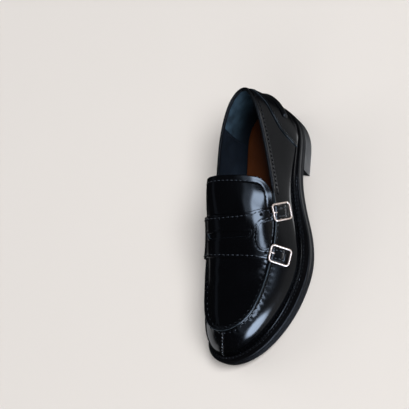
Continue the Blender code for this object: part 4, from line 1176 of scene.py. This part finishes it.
# ---------------------------------------------------------------- sole
def sole_columns():
    """Places t round the sole."""
    return np.linspace(0.0, 1.0, 721)[:-1]


def ring_of(t, inset, height):
    """Points inside the sole's edge by inset, at height above its underside."""
    edge = sole_edge(t, np.broadcast_to(inset, t.shape))[0]
    return np.column_stack([edge, sole_underside(edge[:, 0]) + height])


def cap_ring(solid, ring):
    """Closes a ring that starts at the heel and has its middle at the toe."""
    half = len(ring) // 2
    solid.strip(ring[:half + 1], np.concatenate([ring[:1], ring[half:][::-1]]))


def turned(t, profile, caps):
    """A solid whose profile of (inset, height) runs round the sole."""
    solid = Solid()
    rings = [ring_of(t, inset, height) for inset, height in profile]
    index = solid.add(np.stack(rings, axis=1))
    solid.grid(index, close=True)
    if caps:
        cap_ring(solid, index[:, 0])
        cap_ring(solid, index[:, -1])
    return solid


def build_outsole():
    """The outsole, with its raised bed inside the welt."""
    side = WELT_STEP * 0.5
    solid = turned(sole_columns(), [
        (side + 1.2, 0.0), (side + 0.45, 0.25), (side + 0.1, 0.75), (side, 1.4),
        (side, 3.5), (side, 5.4), (side + 0.12, 5.85), (side + 0.5, OUTSOLE_THICK),
        (BED_INSET, OUTSOLE_THICK), (BED_INSET, SOLE_THICK - 0.1)], caps=True)
    piece("outsole_rubber", solid, [RUBBER], ["outsole"])


def cord_inset(t):
    """How far the welt's cord lies inside the edge of the sole."""
    return np.maximum(welt_width(t) - CORD_INSET, 1.9)


def build_welt():
    """Welt with its rounded corner, the channel of the stitches and the feather groove."""
    t = sole_columns()
    low = OUTSOLE_THICK + CURVED_GAP
    top = SOLE_THICK
    welt = welt_width(t)
    stitch = cord_inset(t)
    profile = [(BED_INSET - CURVED_GAP, low), (0.7, low), (0.2, low + 0.15), (0.0, low + 0.7),
               (0.0, low + 2.4), (0.0, top - 1.1), (0.22, top - 0.5), (0.7, top - 0.12),
               (1.4, top), (stitch - 1.7, top), (stitch - 1.3, top - 0.5),
               (stitch, top - 0.80), (stitch + 1.3, top - 0.5), (stitch + 1.7, top),
               (welt - 0.5, top - 0.1), (welt - 0.1, top - 0.4), (welt + 0.3, top - 0.6),
               (welt + 1.0, top), (BED_INSET - CURVED_GAP, top)]
    solid = turned(t, profile + profile[:1], caps=False)
    piece("welt_strip", solid, [WELTING], ["welt"])
    return solid.tree()


def heel_outline(inset, breast_shift):
    """Outline (u, v) of the heel: the sole's edge behind the breast, and the concave breast."""
    t = np.linspace(-0.5, 0.5, 3201)
    edge = sole_edge(t, np.full(t.shape, inset))[0]
    edge = edge[edge[:, 0] <= HEEL_BREAST_U + breast_shift]
    back = edge[np.linspace(0, len(edge) - 1, 181).astype(int)]
    share = np.linspace(0.0, 1.0, 41)[1:-1, None]
    across = edge[-1:] + (edge[:1] - edge[-1:]) * share
    across[:, 0] -= 4.5 * np.sin(np.pi * share[:, 0])
    return np.vstack([back, across])


def build_heel_piece(name, node, levels):
    """A piece of the heel from its levels: height, inset and shift of the breast."""
    solid = Solid()
    rings = []
    for z, inset, shift in levels:
        outline = heel_outline(inset, shift)
        rings.append(np.column_stack([outline, np.full(len(outline), z)]))
    index = solid.add(np.stack(rings, axis=1))
    solid.grid(index, close=True)
    for ring in (index[:, 0], index[:, -1]):
        middle = solid.points()[ring].mean(axis=0)
        centre = solid.add(np.repeat(middle[None], len(ring), axis=0))
        solid.grid(np.column_stack([ring, centre]), close=True)
    piece(name, solid, [STACK], [node], sharp=30.0)


def build_heel():
    """The top piece, and the stack of lifts with a groove between each two."""
    build_heel_piece("heel_rubber", "heel_top_piece", [
        (0.0, 2.1, -0.5), (0.25, 1.7, -0.1), (0.7, 1.58, 0.0), (2.8, 1.4, -0.15),
        (TOP_PIECE_THICK - 0.25, 1.22, -0.28), (TOP_PIECE_THICK, 1.5, -0.6)])
    levels = []
    for lift in range(HEEL_LIFTS):
        for share, cut in ((0.0, 0.10), (0.04, 0.0), (0.5, 0.0), (0.96, 0.0), (1.0, 0.10)):
            way = (lift + share) / HEEL_LIFTS
            z = TOP_PIECE_THICK + (HEEL_PLANE - TOP_PIECE_THICK) * way
            levels.append((z, 1.1 - 0.6 * way + cut, -0.3 - 1.3 * way - cut))
    build_heel_piece("heel_stack_lifts", "heel_block", levels)


def build_sock():
    """Insole with its leather sock, slightly dished."""
    t = sole_columns()[::2]
    inset = welt_width(t) + WALL + CURVED_GAP + 0.5
    base = SOLE_THICK + CURVED_GAP
    top = base + INSOLE_THICK
    profile = [(inset, base), (inset, top - 0.8), (inset + 0.25, top - 0.3), (inset + 0.9, top)]
    profile += [(inset + 0.9 + step, top - 0.05 * step) for step in (2.5, 5.0, 8.0)]
    solid = turned(t, profile, caps=True)
    piece("leather_sock", solid, [SOCK], ["insole"])


# ---------------------------------------------------------------- buckles
def wire(solid, points, radius, closed, up, sides=12):
    """A round wire along points; up is any direction that crosses all of them."""
    if closed:
        ahead = np.roll(points, -1, axis=0)
        behind = np.roll(points, 1, axis=0)
    else:
        ahead = np.vstack([points[1:], points[-1:]])
        behind = np.vstack([points[:1], points[:-1]])
    tangent = unit(ahead - behind)
    side = unit(np.cross(tangent, up))
    other = np.cross(side, tangent)
    angle = full_turn(sides)[None, :, None]
    size = np.broadcast_to(radius, (len(points),))[:, None, None]
    rings = points[:, None] + size * (np.cos(angle) * side[:, None]
                                      + np.sin(angle) * other[:, None])
    index = solid.add(rings)
    solid.grid(index, close=closed)
    if not closed:
        for row in (0, -1):
            tip = solid.add(np.repeat(points[row][None], sides + 1, axis=0))
            solid.grid(np.vstack([index[row], tip]))


def strap_frame(buckle):
    """Centre of a buckle on the shoe, with its axes along and across the strap."""
    g = np.array([buckle.g - 0.08, buckle.g, buckle.g + 0.08])
    front, low_top, _, _, high_bottom, back = smooth_table(SADDLE, g).T
    middle = 0.5 * (high_bottom + back if buckle.name == "upper" else front + low_top)
    path = lifted_girth(middle, g, np.zeros(3))
    out = unit(lifted_girth(middle, g, np.ones(3))[1] - path[1])
    along = path[2] - path[0]
    along = unit(along - out * np.dot(along, out))
    return path[1], along, np.cross(out, along), out


def rounded_rectangle(length, width, radius, per_corner):
    """Points (x, y) round a rectangle with rounded corners."""
    line = []
    for quarter, (sign_x, sign_y) in enumerate(((1, 1), (-1, 1), (-1, -1), (1, -1))):
        for step in range(per_corner + 1):
            angle = math.radians(90.0 * (quarter + step / per_corner))
            line.append((sign_x * (length / 2 - radius) + radius * math.cos(angle),
                         sign_y * (width / 2 - radius) + radius * math.sin(angle)))
    return np.array(line)


def build_buckle(buckle):
    """The wire frame with its centre bar, and the prong that rests on the frame's end."""
    centre, along, across, out = strap_frame(buckle)

    def place(x, y, z):
        x, y, z = np.broadcast_arrays(x, y, z)
        return centre + x[:, None] * along + y[:, None] * across + z[:, None] * out

    solid = Solid()
    line = rounded_rectangle(FRAME_LENGTH - 2 * WIRE_RADIUS, FRAME_WIDTH - 2 * WIRE_RADIUS,
                             FRAME_CORNER, 9)
    wire(solid, place(line[:, 0], line[:, 1], FRAME_LIFT - FRAME_TILT * line[:, 0]),
         WIRE_RADIUS, True, out)
    half = FRAME_WIDTH / 2 - WIRE_RADIUS
    reach = np.array([-half, 0.6 - half, -6.7, 0.0, 6.7, half - 0.6, half])
    height = np.array([FRAME_LIFT, FRAME_LIFT - 0.4, BAR_LIFT, BAR_LIFT, BAR_LIFT,
                       FRAME_LIFT - 0.4, FRAME_LIFT])
    wire(solid, place(BAR_PLACE, reach, height), BAR_RADIUS, False, out)
    piece("buckle_wire_" + buckle.name, solid, [NICKEL],
          ["buckle_frame_" + buckle.name], sharp=60.0)
    solid = Solid()
    end = -FRAME_LENGTH / 2
    rest = FRAME_LIFT + FRAME_TILT * FRAME_LENGTH / 2 + WIRE_RADIUS + PRONG_RADIUS
    reach = np.array([-5.9, -6.8, -7.7, -9.0, -10.4, end + 1.0, end + 0.1, end - 0.5])
    height = rest + np.array([-2.6, -1.5, -0.5, 0.05, 0.1, 0.0, -0.25, -0.7])
    radius = PRONG_RADIUS * np.array([1.0, 1.0, 1.0, 1.0, 1.0, 0.95, 0.85, 0.6])
    wire(solid, place(reach, 0.0, height), radius, False, across)
    piece("buckle_tongue_" + buckle.name, solid, [NICKEL],
          ["buckle_prong_" + buckle.name], sharp=60.0)


# ---------------------------------------------------------------- stitches
# One stitch from end to end: place along it and half width, as shares of its own.
STITCH_RINGS = np.array([[-1.0, 0.02], [-0.86, 0.62], [-0.5, 0.96], [0.0, 1.0],
                         [0.5, 0.96], [0.86, 0.62], [1.0, 0.02]])
STITCH_SIDES = 6
SHOE_MIDDLE = np.array([130.0, 0.0, 30.0])

# Kinds of stitches, in mm: pitch from one to the next, length and radius; sink: how deep
# they lie, as a share of their thickness; slant (radians) to the row.
Stitch = namedtuple("Stitch", "pitch length radius sink slant thread slot")
STITCHES = {
    "outer_seam_stitches": Stitch(PUCKER_PITCH, 3.0, 0.46, 0.15, -0.6, SEAM_THREAD,
                                  "black_leather"),
    "inner_seam_stitches": Stitch(5.6, 2.6, 0.40, 0.2, -0.3, SEAM_THREAD, "black_leather"),
    "topline_stitches": Stitch(4.2, 2.9, 0.48, 0.22, 0.6, DARK_THREAD, "black_leather"),
    "lining_stitches": Stitch(3.6, 2.4, 0.30, 0.1, 0.0, THREAD, "black_leather"),
    "toe_stitches": Stitch(3.6, 2.7, 0.70, 0.1, 0.0, BRIGHT_THREAD, "black_leather"),
    "tongue_stitches": Stitch(4.2, 2.8, 0.45, 0.15, 0.0, THREAD, "black_leather"),
    "saddle_stitches": Stitch(4.6, 3.0, 0.48, 0.12, 0.0, THREAD, "black_leather"),
    "counter_stitches": Stitch(3.4, 2.5, 0.24, 0.30, 0.0, WELT_CORD, "black_leather"),
    "welt_stitches": Stitch(3.9, 3.5, 1.65, 0.28, 0.0, WELT_CORD, "sole_rubber"),
}


def resample(path, pitch):
    """Points every pitch mm along a path, and the unit tangent at each."""
    run = run_length(path)
    count = max(int(run[-1] / pitch), 1)
    places = (np.arange(count) + 0.5) * run[-1] / count
    tangent = read_along(path, run, places + 0.3) - read_along(path, run, places - 0.3)
    return read_along(path, run, places), unit(tangent)


def sew(solid, path, tree, kind):
    """Lays a row of stitches along a path on the surface held by tree."""
    angle = full_turn(STITCH_SIDES)[:-1]
    along = STITCH_RINGS[:, :1] * kind.length / 2.0
    width = STITCH_RINGS[:, 1:] * kind.radius
    bow = -0.5 * kind.radius * STITCH_RINGS[:, :1] ** 2
    for point, run in zip(*resample(path, kind.pitch)):
        found, normal, _, _ = tree.find_nearest(Vector(point))
        point = np.array(found)
        normal = np.array(normal)
        if normal @ (point - SHOE_MIDDLE) < 0.0:
            normal = -normal
        run = unit(run - normal * (run @ normal))
        run = run * math.cos(kind.slant) + np.cross(normal, run) * math.sin(kind.slant)
        side = np.cross(normal, run)
        centre = point + normal * kind.radius * (1.0 - 2.0 * kind.sink)
        rings = (centre + along[..., None] * run + bow[..., None] * normal
                 + (width * np.cos(angle))[..., None] * side
                 + (width * np.sin(angle))[..., None] * normal)
        index = solid.add(rings)
        solid.grid(np.column_stack([index, index[:, :1]]))


def stitch(name, tree, *lines):
    """One piece with a row of stitches along each of the lines."""
    kind = STITCHES[name]
    thread = Solid()
    for line in lines:
        sew(thread, line, tree, kind)
    piece(name, thread, [kind.thread], sharp=60.0)


def below_top(t, distance):
    """Line on the outside of the upper, at a distance (mm) below its top edge."""
    return outer_wall(t, np.full((len(t), 1), distance))[:, 0]


def inner_seam_line(inset):
    """Line on the apron, inset mm inside the raised seam."""
    run = unit(np.gradient(SEAM_LINE, axis=0))
    inward = unit(np.cross(seam_way(SEAM_T), run))
    towards = np.array(APRON_MIDDLE) - SEAM_LINE
    turn = np.where(np.sum(inward * towards, axis=1) > 0.0, 1.0, -1.0)
    line = SEAM_LINE + inward * inset * turn[:, None]
    return line[SEAM_LINE[:, 0] > PLUG_END + 1.0]


def lining_line(side):
    """Seam in front of the heel grip, inside the wall on one side (-1 or 1)."""
    h = np.linspace(0.9, 0.2, 60)
    fan = np.linspace(0.0, 0.16, 200) * side
    t = np.array([np.interp(GRIP_END + 1.5, wall(fan, np.full_like(fan, share))[:, 0], fan)
                  for share in h])
    return wall(t, h) - wall_normal(t, h) * WALL


def toe_line():
    """Line beside the vertical seam at the toe."""
    h = np.linspace(0.94, 0.03, 40)
    return wall(front_t(h) + FRONT_ROW / AROUND.length, h)


def tongue_row(inset):
    """Line inset mm inside the tongue's free edges, measured over the leather."""
    down = np.linspace(inset, TONGUE_LENGTH - 6.0, 150)
    sides = []
    for side, room in ((-1.0, inset), (1.0, inset + ROW_EXTRA)):
        fan = np.linspace(side, 0.0, 120)
        run = run_length(tongue_face(*lattice(down, fan), 0.0))
        sides.append(np.array([np.interp(room, row, fan) for row in run]))
    medial, lateral = sides
    across = np.linspace(medial[0], lateral[0], 120)[1:-1]
    line = tongue_face(np.concatenate([down[::-1], np.full(len(across), inset), down]),
                       np.concatenate([medial[::-1], across, lateral]), 0.0)
    run = run_length(line)
    even = read_along(line, run, np.arange(0.0, run[-1], 0.5))
    for _ in range(60):
        even[1:-1] = 0.25 * even[:-2] + 0.5 * even[1:-1] + 0.25 * even[2:]
    return even


def saddle_rows(inset):
    """Lines of the saddle's stitches: both long edges and round the gap."""
    g = np.linspace(-1.9, ROW_END, 400)
    front, _, _, back = saddle_edges(g)
    paths = [saddle_face(front - inset, g, SADDLE_THICK),
             saddle_face(back + inset, g, SADDLE_THICK)]
    bend = GAP_ROUND * (1.0 - np.cos(np.linspace(0.0, 0.5 * math.pi, 30)))
    g = GAP_FROM + np.concatenate([bend, np.linspace(GAP_ROUND, ROW_END - GAP_FROM, 60)[1:]])
    _, split_front, split_back, _ = saddle_edges(g)
    scale = np.array([1.0, GIRTH_MM])
    flat = np.vstack([np.column_stack([split_front, g])[::-1],
                      np.column_stack([split_back, g])[1:]]) * scale
    run = unit(np.gradient(flat, axis=0))
    aside = np.column_stack([run[:, 1], -run[:, 0]])
    centre = np.array([split_back[-1] * 0.5 + split_front[-1] * 0.5, g[-1] - 0.3]) * scale
    turn = np.where(np.sum(aside * (flat - centre), axis=1) > 0.0, 1.0, -1.0)
    shifted = (flat + aside * inset * 0.85 * turn[:, None]) / scale
    paths.append(saddle_face(shifted[:, 0], shifted[:, 1], SADDLE_THICK))
    return paths


def counter_line():
    """Line inside the counter's edge, just over its leather."""
    reach = COUNTER_EDGE[-1].distance - COUNTER_ROW
    distance = np.linspace(-reach, reach, 240)
    t = distance / AROUND.length
    share = smooth_table(COUNTER_EDGE, np.abs(distance) + 1.2)[..., 0]
    h = np.maximum(share - 0.035, 0.03)
    return wall(t, h) + wall_normal(t, h) * (CURVED_GAP + COUNTER_THICK)


def welt_line():
    """Line of the welt's cord, from the heel's breast round the toe."""
    t = np.linspace(0.0, 1.0, 1201)
    t = t[AROUND(t)[:, 0] > HEEL_BREAST_U + 8.0]
    return ring_of(t, cord_inset(t), SOLE_THICK)


def build_stitches(quarters, apron, tongue, saddle, counter, welt):
    """All the rows of stitches, each laid on the surface held by its search tree."""
    topline = np.concatenate([np.linspace(float(MEDIAL(1.04)), 1.0, 160),
                              np.linspace(0.0, float(LATERAL(1.06)), 160)[1:]])
    stitch("outer_seam_stitches", quarters, below_top(SEAM_T, OUTER_SEAM_ROW))
    stitch("inner_seam_stitches", apron, inner_seam_line(INNER_SEAM_ROW))
    stitch("topline_stitches", quarters, below_top(topline, BAND_WIDTH - BAND_ROW))
    stitch("lining_stitches", quarters, lining_line(-1.0), lining_line(1.0))
    stitch("toe_stitches", quarters, toe_line())
    stitch("tongue_stitches", tongue, tongue_row(TONGUE_ROW))
    stitch("saddle_stitches", saddle, *saddle_rows(SADDLE_ROW))
    stitch("counter_stitches", counter, counter_line())
    stitch("welt_stitches", welt, welt_line())


def lay_on(tree, points, out, height):
    """Points moved onto the surface held by tree and raised by height along out."""
    return np.array([tree.find_nearest(Vector(point))[0] for point in points]) + out * height


def build_punched_holes(saddle):
    """Punched holes in the two straps: a disc painted with the shade inside the hole, within a
    soft rim.
    """
    solid = Solid()
    angle = full_turn(24)
    for station, g in PUNCHED:
        stations = np.array([station, station + 1.0, station])
        centre, ahead, aside = saddle_face(stations, np.array([g, g, g + 0.03]), SADDLE_THICK)
        centre = np.array(saddle.find_nearest(Vector(centre))[0])
        one = unit(ahead - centre)
        out = unit(np.cross(one, aside - centre))
        two = np.cross(out, one)
        rings = []
        for radius, height in HOLE_RINGS:
            ring = centre + radius * (np.cos(angle)[:, None] * one
                                      + np.sin(angle)[:, None] * two)
            rings.append(lay_on(saddle, ring, out, height))
        index = solid.add(np.stack(rings))
        numbers = np.zeros((len(rings) - 1, len(angle) - 1), dtype=int)
        # the middle disc carries the painted shade of the hole
        numbers[0] = 1
        solid.grid(index, numbers)
    piece("punched_holes", solid, [LEATHER, HOLE_SHADE])


# ---------------------------------------------------------------- camera, floor and light
CAMERA_PLACE = (0.79432, -0.4673, 1.2100)
CAMERA_RIGHT = (0.8254, 0.1126, -0.5532)
CAMERA_UP = (0.0925, 0.9397, 0.3293)
LENS = 132.03


def make_camera():
    data = bpy.data.cameras.new("camera")
    data.sensor_width = 36.0
    data.lens = LENS
    data.clip_start = 0.05
    data.clip_end = 60.0
    item = bpy.data.objects.new("camera", data)
    right = Vector(CAMERA_RIGHT).normalized()
    up = Vector(CAMERA_UP)
    up = (up - right * up.dot(right)).normalized()
    back = right.cross(up)
    item.matrix_world = Matrix((
        (right.x, up.x, back.x, CAMERA_PLACE[0]),
        (right.y, up.y, back.y, CAMERA_PLACE[1]),
        (right.z, up.z, back.z, CAMERA_PLACE[2]),
        (0.0, 0.0, 0.0, 1.0)))
    bpy.context.scene.collection.objects.link(item)
    bpy.context.scene.camera = item


def make_floor():
    """Pale paper that the leather doesn't reflect and that the low panels shine through."""
    mesh = bpy.data.meshes.new("floor")
    size = 12.0
    mesh.from_pydata([(-size, -size, 0.0), (size, -size, 0.0), (size, size, 0.0),
                      (-size, size, 0.0)], [], [(0, 1, 2, 3)])
    paper = surface("floor_paper", (0.785, 0.757, 0.735), (0.795, 0.767, 0.745), (0.8, 0.9), 2.0,
                    0.01, patch=200.0, specular=0.1)
    mesh.materials.append(paper)
    floor = bpy.data.objects.new("floor", mesh)
    bpy.context.scene.collection.objects.link(floor)
    floor.visible_glossy = False
    floor.visible_shadow = False


# Soft panels: azimuth from the toe towards the lateral side and elevation (degrees) of
# the middle, distance, width and height (m), radiance and kind.  A dull panel lights only
# the dull surfaces; a gloss or glow panel shows only in the glossy ones, and differs in
# colour.  One with a roll (degrees) is round.
Panel = namedtuple("Panel", "name azimuth elevation distance width height radiance kind roll",
                   defaults=[None])
PANELS = [
    Panel("side_softbox", 90.5, 33.0, 2.6, 1.48, 1.20, 13.0, "gloss"),
    Panel("side_softbox_low", 66.0, 24.5, 2.65, 1.05, 0.52, 10.0, "gloss"),
    Panel("side_softbox_top", 93.0, 49.0, 2.7, 1.45, 1.10, 1.2, "gloss"),
    Panel("toe_softbox", 44.0, -12.5, 2.6, 2.55, 1.95, 13.5, "gloss", 20.0),
    Panel("toe_halo", 46.0, -4.0, 2.8, 2.60, 1.50, 2.6, "gloss"),
    Panel("front_glow", 42.0, 24.0, 2.9, 3.20, 2.00, 0.40, "gloss"),
    Panel("toe_fill", -70.0, -8.0, 2.6, 2.50, 1.50, 0.95, "glow"),
    Panel("rear_glow", -130.0, 38.0, 2.6, 1.40, 1.20, 0.4, "gloss"),
    Panel("medial_strip", -76.0, 47.0, 2.6, 3.40, 0.60, 0.13, "gloss"),
    Panel("heel_glow", 150.0, -63.0, 2.6, 2.20, 0.80, 1.4, "glow"),
    Panel("wall_glow", 124.0, -57.0, 2.6, 1.60, 0.60, 1.9, "glow"),
    Panel("foot_glow", 113.0, -4.0, 2.6, 0.90, 0.55, 2.0, "glow"),
    Panel("key_light", 82.0, 49.0, 8.0, 3.4, 3.4, 18.4, "dull"),
    Panel("overhead_light", 0.0, 88.0, 4.0, 6.0, 6.0, 0.25, "dull"),
    Panel("medial_fill", -105.0, 32.0, 6.0, 5.0, 3.0, 1.8, "dull"),
    Panel("front_fill", 10.0, 32.0, 6.0, 5.0, 3.0, 1.0, "dull"),
]
PANEL_FADE = 0.22            # share of a panel over which it fades at each edge
ROUND_FADE = 0.20
PANEL_COLOURS = {"gloss": (0.62, 0.77, 1.0), "glow": (0.94, 0.96, 1.0),
                 "dull": (1.0, 0.985, 0.97)}
DARK_SIDE = (-0.80, -0.10, 0.59)       # the room is dark this way and pale the other way


def fade_out(tree, is_round):
    """Lets a panel fade out towards its edge, as a softbox does."""
    place = tree.nodes.new("ShaderNodeNewGeometry").outputs["Parametric"]
    if is_round:
        away = math_node(tree, "ShaderNodeVectorMath", "DISTANCE", place, (0.5, 0.5, 0.0))
        strength = map_range(tree, away, 0.5, 0.5 - ROUND_FADE, smooth=True)
    else:
        axes = split_axes(tree, place)
        shares = []
        for axis in ("X", "Y"):
            away = math_node(tree, "ShaderNodeMath", "PINGPONG", axes[axis], 0.5)
            shares.append(map_range(tree, away, 0.0, PANEL_FADE, smooth=True))
        strength = math_node(tree, "ShaderNodeMath", "MULTIPLY", *shares)
    tree.links.new(strength, tree.nodes["Emission"].inputs["Strength"])


def make_room():
    """The light of the room round the shoe, which is darker on one side."""
    world = bpy.data.worlds.new("studio")
    world.use_nodes = True
    tree = world.node_tree
    where = tree.nodes.new("ShaderNodeTexCoord").outputs["Generated"]
    facing = math_node(tree, "ShaderNodeVectorMath", "DOT_PRODUCT", where, DARK_SIDE)
    level = map_range(tree, facing, -0.90, -0.55, 0.34, 0.012, smooth=True)
    background = tree.nodes["Background"]
    tree.links.new(level, background.inputs["Strength"])
    background.inputs["Color"].default_value = (0.95, 0.97, 1.0, 1.0)
    bpy.context.scene.world = world


def make_panel(panel):
    """The soft area light of one row of the table, facing the shoe."""
    azimuth = math.radians(panel.azimuth)
    elevation = math.radians(panel.elevation)
    way = Vector((math.sin(azimuth) * math.cos(elevation),
                  -math.cos(azimuth) * math.cos(elevation), math.sin(elevation)))
    data = bpy.data.lights.new(panel.name, "AREA")
    data.shape = "RECTANGLE"
    data.size = panel.width
    data.size_y = panel.height
    data.energy = panel.radiance * math.pi * panel.width * panel.height
    data.color = PANEL_COLOURS[panel.kind]
    if panel.kind != "dull":
        data.use_nodes = True
        fade_out(data.node_tree, panel.roll is not None)
    item = bpy.data.objects.new(panel.name, data)
    item.location = way * panel.distance
    item.rotation_mode = "QUATERNION"
    turn = Quaternion((0.0, 0.0, 1.0), math.radians(panel.roll or 0.0))
    item.rotation_quaternion = way.to_track_quat("Z", "Y") @ turn
    item.visible_camera = False
    item.visible_diffuse = panel.kind == "dull"
    item.visible_glossy = panel.kind != "dull"
    bpy.context.scene.collection.objects.link(item)


def main():
    quarters = build_quarters()
    apron = build_apron()
    tongue = build_tongue()
    saddle = build_saddle()
    counter = build_counter()
    build_heel_tab()
    build_outsole()
    welt = build_welt()
    build_heel()
    build_sock()
    for buckle in BUCKLES:
        build_buckle(buckle)
    build_stitches(quarters, apron, tongue, saddle, counter, welt)
    build_punched_holes(saddle)
    make_camera()
    make_floor()
    make_room()
    for panel in PANELS:
        make_panel(panel)
    bpy.context.scene.view_settings.view_transform = "Standard"


main()
bpy.context.view_layer.update()
